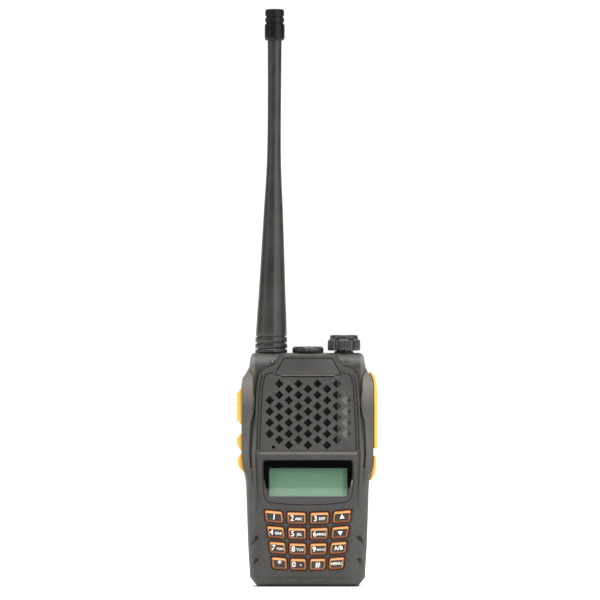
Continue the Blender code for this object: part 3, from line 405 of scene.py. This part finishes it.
def soften(piece, width_mm, segments=2, angle=30.0):
    """Round the edges that turn by more than an angle in degrees."""
    make_active(piece)
    edge = piece.modifiers.new("edge", "BEVEL")
    edge.width = width_mm * MM
    edge.segments = segments
    edge.limit_method = "ANGLE"
    edge.angle_limit = math.radians(angle)
    bpy.ops.object.modifier_apply(modifier="edge")


def smooth(piece, angle):
    """Shade smooth across all edges but those that turn by more than an angle in degrees."""
    make_active(piece)
    bpy.ops.object.shade_smooth_by_angle(angle=math.radians(angle))


def finish_piece(piece, body, materials, replaces=(), angle=35.0):
    """Give a piece its finish and say what it rides on and stands for."""
    for one in materials:
        piece.data.materials.append(one)
    smooth(piece, angle)
    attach(piece, body)
    if replaces:
        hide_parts(*replaces)


def clear_selection(mesh):
    for group in (mesh.vertices, mesh.edges, mesh.polygons):
        for one in group:
            one.select = False


def select_faces(piece, test):
    """Select the faces whose centre and normal pass the test, and go on editing."""
    leave_edit()
    clear_selection(piece.data)
    for face in piece.data.polygons:
        face.select = bool(test(face.center, face.normal))
    bpy.ops.object.mode_set(mode="EDIT")
    bpy.ops.mesh.select_mode(type="FACE")


def select_points(piece, test):
    """Select the points whose place passes the test, and go on editing."""
    leave_edit()
    clear_selection(piece.data)
    for vertex in piece.data.vertices:
        vertex.select = bool(test(vertex.co))
    bpy.ops.object.mode_set(mode="EDIT")
    bpy.ops.mesh.select_mode(type="VERT")


def selected_points(piece):
    """The selected points of a piece that is being edited."""
    piece.update_from_editmode()
    return [vertex for vertex in piece.data.vertices if vertex.select]


def draw_out(step, scale, centre):
    """Extrude the selected faces by a step, then scale them about a centre."""
    bpy.ops.mesh.extrude_region_move(TRANSFORM_OT_translate={"value": step})
    bpy.ops.transform.resize(value=scale, center_override=centre)


def turn_up(name, centre, profile, steps=64, lean=None):
    """Draw a disc up along Z through a list of (radius, height) in mm, closed at both ends.

    Lean gives how far to the right each height stands, in mm.
    """
    lean = lean or (lambda height: 0.0)
    radius, height = profile[0]
    deselect_all()
    bpy.ops.mesh.primitive_circle_add(vertices=steps, radius=radius * MM, fill_type="NGON",
                                      location=(centre.x + lean(height) * MM, centre.y, height * MM))
    piece = bpy.context.object
    piece.name = name
    piece.data.name = name
    place_at_origin(piece)
    edit(piece)
    bpy.ops.mesh.select_all(action="SELECT")
    for radius_next, height_next in profile[1:]:
        rise = (height_next - height) * MM
        aside = (lean(height_next) - lean(height)) * MM
        bpy.ops.mesh.extrude_region_move(TRANSFORM_OT_translate={"value": (aside, 0, rise)})
        k = radius_next / radius
        axis_x = centre.x + lean(height_next) * MM
        bpy.ops.transform.resize(value=(k, k, 1.0), center_override=(axis_x, centre.y, 0.0))
        radius, height = radius_next, height_next
    bpy.ops.mesh.select_all(action="SELECT")
    bpy.ops.mesh.normals_make_consistent(inside=False)
    leave_edit()
    return piece


def squeeze(piece, centre, factor, test):
    """Move the points that pass the test nearer to an upright axis: the flutes of a knob."""
    edit(piece)
    select_points(piece, test)
    bpy.ops.transform.resize(value=(factor, factor, 1.0), center_override=(centre.x, centre.y, 0.0))
    leave_edit()


def angle_off(point, centre, pitch):
    """Angle round an upright axis from the nearest multiple of the pitch, in radians."""
    turn = math.atan2(point.y - centre.y, point.x - centre.x) % (2 * math.pi)
    return abs((turn + pitch / 2) % pitch - pitch / 2)


def join(pieces, name):
    make_active(pieces[0])
    for piece in pieces[1:]:
        piece.select_set(True)
    bpy.ops.object.join()
    pieces[0].name = name
    pieces[0].data.name = name
    return pieces[0]


def rounded_bar(name, size, place, edge_mm, segments=3):
    """A bar with rounded edges: a cube scaled to size, then bevelled."""
    deselect_all()
    bpy.ops.mesh.primitive_cube_add(size=1.0, location=[c * MM for c in place])
    piece = bpy.context.object
    piece.name = name
    piece.data.name = name
    piece.scale = [c * MM for c in size]
    place_at_origin(piece)
    edit(piece)
    bpy.ops.mesh.select_all(action="SELECT")
    bpy.ops.mesh.bevel(offset=edge_mm * MM, segments=segments, affect="EDGES", profile=0.5)
    leave_edit()
    return piece


# ---- the case ---------------------------------------------------------------------------
def in_blind_hole(face):
    """True for the small faces of the column of grille holes that don't go through."""
    x, y, z = (c / MM for c in face.center)
    return 16.1 < x < 20.4 and 64.0 < z < 92.0 and y < -10.0 and face.area < (4.0 * MM) ** 2


def case_shell():
    """The case. The long right-facing facets of the blind grille holes get a painted highlight, like its
    rails.
    """
    shell = copy_solid("front_case", "case_shell")
    shell.data.materials.append(ABS_CASE)
    shell.data.materials.append(ABS_PAINTED_HIGHLIGHT)
    for face in shell.data.polygons:
        # Painted highlight: blind-hole facets that face right get the paler ABS, as if lit.
        if in_blind_hole(face) and face.normal.y < -0.5 and face.normal.x > 0.05:
            face.material_index = 1
    finish_piece(shell, "case", [], ("front_case",), 28.0)


def name_plate():
    plate = copy_solid("name_plate", "name_plate_blank")
    soften(plate, 0.12, 2)
    finish_piece(plate, "case", [ABS_PLATE], ("name_plate",))


def case_ribs():
    """Raised bars moulded on the case, below the grille and along the name plate's foot."""
    # Both bars are in the paler ABS: painted highlight on faces that catch the light from above.
    bar = rounded_bar("case_cross_bar", (46.0, 1.7, 1.5), (0.2, -15.2, 62.7), 0.5)
    finish_piece(bar, "case", [ABS_PAINTED_HIGHLIGHT])
    foot = rounded_bar("case_plate_foot", (25.4, 1.0, 0.6), (0.0, -15.0, 99.5), 0.2)
    finish_piece(foot, "case", [ABS_PAINTED_HIGHLIGHT])


def volume_marks():
    """The wedge of four bars that says louder, laid on the round of the case's top front edge."""
    radius, axis_y, axis_z = 8.5, -2.4, 101.5
    for k in range(4):
        height = 0.7 + 0.4 * k
        x, z = 14.3 + 1.5 * k, 105.5 + height / 2
        rise = z - axis_z
        y = axis_y - math.sqrt(radius ** 2 - rise ** 2)
        mark = rounded_bar(f"case_volume_mark_{k + 1}", (0.8, 0.5, height), (0.0, 0.0, 0.0), 0.12)
        mark.rotation_euler = (-math.asin(rise / radius), 0.0, 0.0)
        mark.location = (x * MM, y * MM, z * MM)
        place_at_origin(mark)
        finish_piece(mark, "case", [ABS_BLACK])


def volume_collar():
    """Low ring on the case's top, under the volume knob."""
    collar = turn_up("volume_neck_collar", KNOB, [(4.6, 110.02), (4.6, 110.5), (4.3, 110.85)], 48)
    finish_piece(collar, "case", [ABS_BLACK])


def display():
    """Domed window: its face is drawn out in rings, each a little prouder and smaller."""
    window = copy_solid("display_window", "display_window_domed")
    low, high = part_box("display_window")
    centre = middle("display_window")
    edit(window)
    select_faces(window, lambda place, normal: normal.y < -0.99 and place.y < low.y + 0.05 * MM)
    width, height = high.x - low.x, high.z - low.z
    for border, rise in ((0.5, 0.03), (0.7, 0.03), (1.2, 0.035), (2.2, 0.04), (2.6, 0.02), (0.1, 0.0)):
        narrower, lower = width - 2 * border * MM, height - 2 * border * MM
        draw_out((0.0, -rise * MM, 0.0), (narrower / width, 1.0, lower / height), centre)
        width, height = narrower, lower
    leave_edit()
    window.data.materials.append(WINDOW)
    window.data.materials.append(ABS_BLACK)
    for face in window.data.polygons:
        face.material_index = 1 if abs(face.normal.y) < 0.97 else 0
    finish_piece(window, "case", [], ("display_window",), 16.0)


# ---- keys -------------------------------------------------------------------------------
KEY_LEGENDS = {
    "key_1": ("1", ""), "key_2": ("2", "ABC"), "key_3": ("3", "DEF"), "key_up": ("up", ""),
    "key_4": ("4", "GHI"), "key_5": ("5", "JKL"), "key_6": ("6", "MNO"), "key_down": ("down", ""),
    "key_7": ("7", "PQRS"), "key_8": ("8", "TUV"), "key_9": ("9", "WXYZ"), "key_mode": ("A/B", ""),
    "key_star": ("*", ""), "key_0": ("0", "+"), "key_hash": ("#", ""), "key_menu": ("MENU", ""),
}


def key_cap(node):
    """Key with a flat dark printed face inside a sloping orange border.

    The solid's face is moved back, flared and drawn out again, first straight and then sloping
    down, so that the border is wider above than below. The walls behind the flare are painted
    dark red as painted shade in the gap round the key, the border's downward faces are painted
    a darker orange as painted shade, and the flange is red silicone.
    """
    low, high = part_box(node)
    key = copy_solid(node, node + "_cap")
    edit(key)
    select_faces(key, lambda place, normal: normal.y < -0.99 and place.y < low.y + 0.02 * MM)
    points = [vertex.co.copy() for vertex in selected_points(key)]
    width = max(point.x for point in points) - min(point.x for point in points)
    height = max(point.z for point in points) - min(point.z for point in points)
    centre = sum(points, Vector()) / len(points)
    straight, slope, drop = 0.1 * MM, 0.32 * MM, 0.44 * MM
    bpy.ops.transform.translate(value=(0.0, straight + slope, 0.0))
    flare, rim = 0.2 * MM, 0.08 * MM
    wide, tall = width + 2 * flare, height + 2 * flare
    bpy.ops.transform.resize(value=(wide / width, 1.0, tall / height), center_override=centre)
    draw_out((0.0, 0.0, 0.11 * MM), ((width - 2 * rim) / wide, 1.0, (height - 2 * rim) / tall), centre)
    draft, side_slopes, end_slopes = 0.04 * MM, 0.56 * MM, 1.14 * MM
    draw_out((0.0, -straight, 0.0), (1 - draft / width, 1.0, 1 - draft / height), centre)
    draw_out((0.0, -slope, -drop), (1 - side_slopes / width, 1.0, 1 - end_slopes / height), centre)
    leave_edit()
    for finish in (KEY_ORANGE, KEY_FACE, SILICONE, SILICONE_PAINTED_SHADE, KEY_ORANGE_PAINTED_SHADE):
        key.data.materials.append(finish)
    for face in key.data.polygons:
        if face.select:
            face.material_index = 1
        elif face.center.y > low.y + 1.3 * MM and face.normal.y < -0.5:
            face.material_index = 2
        # Walls in the gap round the key: painted shade, dark red.
        elif face.center.y > low.y + 0.4 * MM:
            face.material_index = 3
        else:
            # Downward faces of the border: painted shade, a darker orange.
            face.material_index = 4 if face.normal.z < -0.15 else 0
    finish_piece(key, node, [], (node,), 12.0)
    return low, high


def text_piece(words, size_mm, x, z, face_y, tilt):
    """Printed characters, a few hundredths of a millimetre thick."""
    deselect_all()
    bpy.ops.object.text_add(location=(0, 0, 0))
    piece = bpy.context.object
    piece.data.body = words
    piece.data.size = size_mm * MM
    piece.data.align_x = "CENTER"
    piece.data.align_y = "CENTER"
    piece.data.offset = 0.02 * MM
    piece.data.extrude = 0.015 * MM
    piece.data.resolution_u = 3
    bpy.ops.object.convert(target="MESH")
    piece.rotation_euler = (math.pi / 2, tilt, 0.0)
    piece.location = (x, face_y, z)
    place_at_origin(piece)
    return piece


def arrow_piece(x, z, face_y, points_up, tilt):
    """Printed triangle: a thin cylinder of three sides."""
    deselect_all()
    bpy.ops.mesh.primitive_cylinder_add(vertices=3, radius=1.35 * MM, depth=0.03 * MM)
    piece = bpy.context.object
    turn = math.pi / 2 if points_up else -math.pi / 2
    piece.rotation_euler = (turn, tilt, 0.0)
    piece.location = (x, face_y, z)
    place_at_origin(piece)
    return piece


def key_legend(node, low, high):
    """A key's printed characters, turned to the slope of the row.

    The rows bow: in millimetres they rise by 0.003 times x squared.
    """
    below_middle = 0.26 * MM
    x, z = (low.x + high.x) / 2, (low.z + high.z) / 2 - below_middle
    face_y = low.y
    tilt = -math.atan(2 * 0.003 * x / MM)
    big, small = KEY_LEGENDS[node]
    if big in ("up", "down"):
        parts = [arrow_piece(x, z, face_y, big == "up", tilt)]
    elif len(big) > 1:
        parts = [text_piece(big, 2.7 if len(big) < 4 else 1.9, x, z, face_y, tilt)]
    elif small:
        rise = math.sin(-tilt)
        left, right = 2.0 * MM, 1.15 * MM
        parts = [text_piece(big, 3.6, x - left, z - left * rise, face_y, tilt),
                 text_piece(small, 1.8 if len(small) < 4 else 1.35, x + right,
                            z + right * rise - 0.2 * MM, face_y, tilt)]
    else:
        parts = [text_piece(big, 3.9, x, z, face_y, tilt)]
    legend = join(parts, node + "_legend")
    finish_piece(legend, node, [KEY_PRINT])


def keypad():
    for node in KEY_LEGENDS:
        low, high = key_cap(node)
        key_legend(node, low, high)


# ---- side pieces ------------------------------------------------------------------------
def side_button(node):
    """Yellow rubber button with well rounded edges."""
    button = copy_solid(node, node + "_rubber")
    soften(button, 0.5, 3, 25.0)
    finish_piece(button, node, [RUBBER_YELLOW], (node,))


def talk_ribs():
    """Six ribs across the long button that is pressed to talk."""
    low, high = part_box("ptt_button")
    count, margin = 6, 3.0
    pitch = ((high.z - low.z) / MM - 2 * margin) / (count - 1)
    for k in range(count):
        z = low.z / MM + margin + k * pitch
        rib = rounded_bar(f"ptt_button_rib_{k + 1}", (1.0, 5.2, 1.2), (low.x / MM + 0.28, -4.0, z), 0.45)
        finish_piece(rib, "ptt_button", [RUBBER_YELLOW])


def jack_flap():
    """Yellow rubber flap over the sockets, and the tab that holds it.

    The faces that lie back from the outermost one are filled out by 0.2 mm.
    """
    for node, body in (("jack_cover", "jack_cover"), ("cover_anchor", "case")):
        flap = copy_solid(node, node + "_rubber")
        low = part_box(node)[0]
        edit(flap)
        select_faces(flap, lambda place, normal: normal.x < -0.9 and place.x > low.x + 0.8 * MM)
        bpy.ops.transform.translate(value=(-0.2 * MM, 0.0, 0.0))
        leave_edit()
        soften(flap, 0.2, 2, 25.0)
        finish_piece(flap, body, [RUBBER_YELLOW], (node,))


# ---- top pieces -------------------------------------------------------------------------
def volume_knob():
    """Six-lobed knob: a wide groove between lobes, and fine ribs on each lobe."""
    profile = [(6.6, 111.0), (7.4, 111.05), (7.8, 111.3), (7.9, 111.7), (7.9, 113.2), (7.88, 115.2),
               (7.7, 115.9), (7.25, 116.3), (6.85, 116.45), (6.75, 116.7), (6.72, 117.8),
               (6.5, 118.2), (6.1, 118.45), (5.2, 118.5)]
    knob = turn_up("volume_knob_lobed", KNOB, profile, 144)
    groove_pitch, rib_pitch, rib_top = math.radians(60.0), math.radians(10.0), 116.5 * MM

    def in_groove(point):
        return angle_off(point, KNOB, groove_pitch) < math.radians(8.5) and point.z < rib_top

    def in_rib_gap(point):
        on_lobe = angle_off(point, KNOB, groove_pitch) >= math.radians(9.0)
        return on_lobe and angle_off(point, KNOB, rib_pitch) < math.radians(2.0) and point.z < rib_top

    squeeze(knob, KNOB, 0.86, in_groove)
    squeeze(knob, KNOB, 0.97, in_rib_gap)
    finish_piece(knob, "volume_knob", [RUBBER_KNOB], ("volume_knob",), 40.0)

    mark = rounded_bar("volume_knob_pointer", (0.5, 3.4, 0.3),
                       (KNOB.x / MM, KNOB.y / MM - 3.6, 118.5), 0.12)
    finish_piece(mark, "volume_knob", [KEY_PRINT])


def torch_head():
    """Bezel with twelve flutes and an open middle: the lens and reflector sit inside."""
    floor = 111.2
    profile = [(6.9, 110.02), (7.3, 110.1), (7.5, 110.5), (7.5, 111.9), (7.25, 112.5),
               (6.6, 112.95), (6.0, 113.0), (5.5, 112.8), (5.25, 112.2), (5.22, floor)]
    bezel = turn_up("torch_bezel_fluted", TORCH, profile, 120)
    edit(bezel)
    select_faces(bezel, lambda place, normal: abs(place.z - floor * MM) < 0.05 * MM
                 and abs(normal.z) > 0.9)
    bpy.ops.mesh.delete(type="FACE")
    leave_edit()
    flute_pitch = math.radians(30.0)

    def in_flute(point):
        reach = (point.xy - TORCH.xy).length
        return angle_off(point, TORCH, flute_pitch) < math.radians(7.5) and reach > 6.2 * MM

    squeeze(bezel, TORCH, 0.84, in_flute)
    finish_piece(bezel, "case", [RUBBER_KNOB], (), 40.0)


def whip_lean(height):
    """How far to the right the slightly bent whip stands at a height, all in mm."""
    foot, tip, lean_at_tip = 118.0, 272.0, 1.6
    to_tip = (tip - max(height, foot)) / (tip - foot)
    return lean_at_tip * (1 - to_tip ** 2)


def antenna():
    """Ringed base, long taper and grooved cap, drawn up in one run each."""
    base = [(6.9, 110.06), (7.35, 110.1), (7.6, 110.4), (7.6, 111.4), (7.45, 111.65), (6.75, 111.7),
            (6.75, 112.1), (7.45, 112.15), (7.62, 112.45), (7.62, 114.1), (7.45, 114.4), (6.75, 114.45),
            (6.75, 114.85), (7.4, 114.9), (7.55, 115.2), (7.5, 117.2), (7.35, 117.5), (6.7, 117.55),
            (6.7, 117.9), (7.2, 117.95), (7.28, 118.2)]
    taper = [(7.25, 120.0), (6.85, 129.0), (6.42, 136.0), (5.95, 146.0), (5.45, 157.0), (4.95, 168.0),
             (4.42, 179.0), (3.78, 190.0), (3.42, 198.0), (3.24, 206.0), (3.16, 216.0), (3.16, 226.0),
             (3.2, 240.0), (3.28, 250.0), (3.35, 257.0), (3.35, 258.0)]
    sleeve = turn_up("antenna_sleeve_rubber", ANTENNA, base + taper, 72, whip_lean)
    finish_piece(sleeve, "antenna", [RUBBER_ANTENNA], ("antenna_sleeve",), 30.0)
    cap = [(3.9, 257.3), (4.35, 257.6), (4.7, 258.4), (4.75, 259.2), (4.75, 264.4), (4.62, 265.0),
           (4.15, 265.2), (4.1, 265.9), (4.45, 266.1), (4.55, 266.4), (4.55, 267.6), (4.4, 267.9),
           (4.05, 268.1), (4.05, 268.7), (4.4, 268.9), (4.5, 269.2), (4.5, 271.2), (4.3, 271.8),
           (3.8, 272.15), (2.8, 272.28)]
    tip = turn_up("antenna_cap_rubber", ANTENNA, cap, 64, whip_lean)
    finish_piece(tip, "antenna", [RUBBER_CAP], ("antenna_cap",), 30.0)


# ---- back pieces ------------------------------------------------------------------------
SIDES = (("left", -1), ("right", 1))


def battery_pieces():
    """Battery shell, the plain label inside it, eight grip ridges and a charging pad a side."""
    shell = copy_solid("battery_case", "battery_shell")
    soften(shell, 0.5, 3, 25.0)
    finish_piece(shell, "battery", [ABS_BATTERY], ("battery_case",))
    centre = middle("battery_case") / MM
    low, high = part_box("battery_case")
    inside, outside = low.y / MM, high.y / MM
    label = rounded_bar("battery_inner_label", (52.0, 0.2, 76.0), (centre.x, inside - 0.1, centre.z),
                        0.05, 1)
    finish_piece(label, "battery", [ABS_BLACK])
    for word, side in SIDES:
        for k in range(8):
            ridge = rounded_bar(f"battery_grip_{word}_{k + 1}", (7.0, 0.9, 1.1),
                                (side * 17.0, outside, 16.0 + 2.6 * k), 0.4)
            finish_piece(ridge, "battery", [ABS_BATTERY])
    for word, side in SIDES:
        pad = rounded_bar(f"battery_charge_pad_{word}", (4.0, 0.5, 3.0), (side * 7.0, outside, 9.0),
                          0.15, 2)
        finish_piece(pad, "battery", [BRASS])


def latch_and_clip():
    """Battery catch and belt clip: the moulded solids with their edges rounded."""
    for node, body, width in (("battery_latch", "battery_latch", 0.3), ("clip_bracket", "case", 0.2),
                              ("clip_lever", "clip_lever", 0.3)):
        part = copy_solid(node, node + "_moulded")
        soften(part, width, 2, 30.0)
        finish_piece(part, body, [ABS_BLACK], (node,))


# ---- solids that stay as they are -------------------------------------------------------
KEPT = {
    "display_panel": DISPLAY, "display_backlight": CHROME, "keypad_mat": SILICONE,
    "grille_cloth": CLOTH, "speaker_frame": STEEL, "speaker_cone": ABS_BLACK,
    "speaker_magnet": STEEL, "microphone": STEEL, "main_board": BOARD, "shield_can": STEEL,
    "rear_chassis": ALUMINIUM, "battery_contact_block": ABS_BLACK, "side_switch_board": BOARD,
    "jack_block": ABS_BLACK, "volume_control": STEEL, "volume_shaft": STEEL,
    "torch_bezel": RUBBER_KNOB, "torch_lens": CLEAR, "torch_reflector": CHROME, "torch_led": LAMP,
    "antenna_socket": BRASS, "antenna_core": BRASS, "status_lamp": LAMP, "clip_pin": STEEL,
    "clip_screw_left": STEEL, "clip_screw_right": STEEL, "clip_spring": STEEL,
    "battery_cover": ABS_BATTERY, "battery_cell": CELL,
}


def finish_kept_solids():
    for node, finish in KEPT.items():
        NODES[node].data.materials.clear()
        NODES[node].data.materials.append(finish)


# ---- studio, in metres ------------------------------------------------------------------
RADIO_MIDDLE = Vector((0.0, 0.0, 0.1))
CARD_TOP = 0.9


def studio_floor():
    deselect_all()
    bpy.ops.mesh.primitive_plane_add(size=12.0, location=(0.0, 0.0, 0.0))
    floor = bpy.context.object
    floor.name = "studio_floor"
    made, tree, shader, place = new_material("studio_paper_white")
    fibres = add_node(tree, "ShaderNodeTexNoise", {"Scale": 1 / (2.0 * MM), "Detail": 2.0},
                      {"Vector": (place, "Object")})
    colour = ramp(tree, fibres, "Fac", [(0.3, linear("#F6F6F6")), (0.7, linear("#FBFBFB"))])
    tree.links.new(colour.outputs["Color"], shader.inputs["Base Color"])
    shader.inputs["Roughness"].default_value = 0.9
    shader.inputs["Specular IOR Level"].default_value = 0.2
    floor.data.materials.append(made)


def black_card(name, points, faces):
    """A black card that shows only in reflections."""
    mesh = bpy.data.meshes.new(name)
    mesh.from_pydata(points, [], faces)
    card = bpy.data.objects.new(name, mesh)
    bpy.context.scene.collection.objects.link(card)
    made, tree, shader, place = new_material(name + "_matt_paper")
    nap = add_node(tree, "ShaderNodeTexNoise", {"Scale": 200.0}, {"Vector": (place, "Object")})
    colour = ramp(tree, nap, "Fac", [(0.3, linear("#080808")), (0.7, linear("#0C0C0C"))])
    tree.links.new(colour.outputs["Color"], shader.inputs["Base Color"])
    shader.inputs["Roughness"].default_value = 1.0
    shader.inputs["Specular IOR Level"].default_value = 0.0
    mesh.materials.append(made)
    card.visible_camera = False
    card.visible_diffuse = False
    card.visible_shadow = False
    card.visible_transmission = False


def studio_cards():
    """Cards in front and at both sides. The display window mirrors the front one's arched foot."""
    front, arch_x, arch_top, arch_half = -0.55, 0.0115, 0.0372, 0.037
    columns = [-1.6, -0.3] + [-0.1 + 0.005 * k for k in range(41)] + [0.6]
    feet = [arch_top - 4.5 * min(abs(x - arch_x), arch_half) ** 2 for x in columns]
    points = [(x, front, foot) for x, foot in zip(columns, feet)]
    points += [(x, front, CARD_TOP) for x in columns]
    count = len(columns)
    black_card("front_card", points, [(k, k + 1, count + k + 1, count + k) for k in range(count - 1)])
    foot, back = 0.02, 1.2
    for name, x, near in (("left_card", -1.6, front), ("right_card", 1.3, -0.5)):
        points = [(x, near, foot), (x, back, foot), (x, back, CARD_TOP), (x, near, CARD_TOP)]
        black_card(name, points, [(0, 1, 2, 3)])


def area_light(name, place, size, power):
    """Oblong soft light that faces the middle of the radio."""
    light = bpy.data.lights.new(name, "AREA")
    light.shape = "RECTANGLE"
    light.size, light.size_y = size
    light.energy = power
    lamp = bpy.data.objects.new(name, light)
    lamp.location = place
    lamp.rotation_euler = (RADIO_MIDDLE - Vector(place)).to_track_quat("-Z", "Y").to_euler()
    bpy.context.scene.collection.objects.link(lamp)


def studio():
    studio_floor()
    studio_cards()
    world = bpy.data.worlds.new("studio_surround")
    bpy.context.scene.world = world
    world.use_nodes = True
    background = world.node_tree.nodes["Background"]
    background.inputs["Color"].default_value = (1.0, 1.0, 1.0, 1.0)
    background.inputs["Strength"].default_value = 1.15
    area_light("overhead_softbox", (0.0, -0.25, 1.1), (0.9, 0.7), 13.0)
    area_light("left_softbox", (-0.9, -0.45, 0.45), (0.5, 0.9), 2.0)
    area_light("right_softbox", (0.9, -0.35, 0.45), (0.4, 0.9), 1.0)
    area_light("tall_front_softbox", (0.55, -1.0, 0.35), (0.16, 1.0), 6.0)
    bpy.context.scene.view_settings.view_transform = "Standard"


def camera():
    """Long lens far in front, a little to the left, level with the middle of the whole height."""
    view = bpy.data.cameras.new("front_camera")
    view.lens = 636.0
    view.sensor_width = 36.0
    view.clip_start = 0.05
    eye = bpy.data.objects.new("front_camera", view)
    turn, distance = math.radians(-1.2), 5.0
    eye.location = (distance * math.sin(turn) - 0.0034, -distance * math.cos(turn), 0.1349)
    eye.rotation_euler = (math.pi / 2, 0.0, turn)
    bpy.context.scene.collection.objects.link(eye)
    bpy.context.scene.camera = eye


case_shell()
name_plate()
case_ribs()
volume_marks()
volume_collar()
display()
keypad()
side_button("ptt_button")
talk_ribs()
side_button("call_button")
side_button("monitor_button")
jack_flap()
volume_knob()
torch_head()
antenna()
battery_pieces()
latch_and_clip()
finish_kept_solids()
studio()
camera()
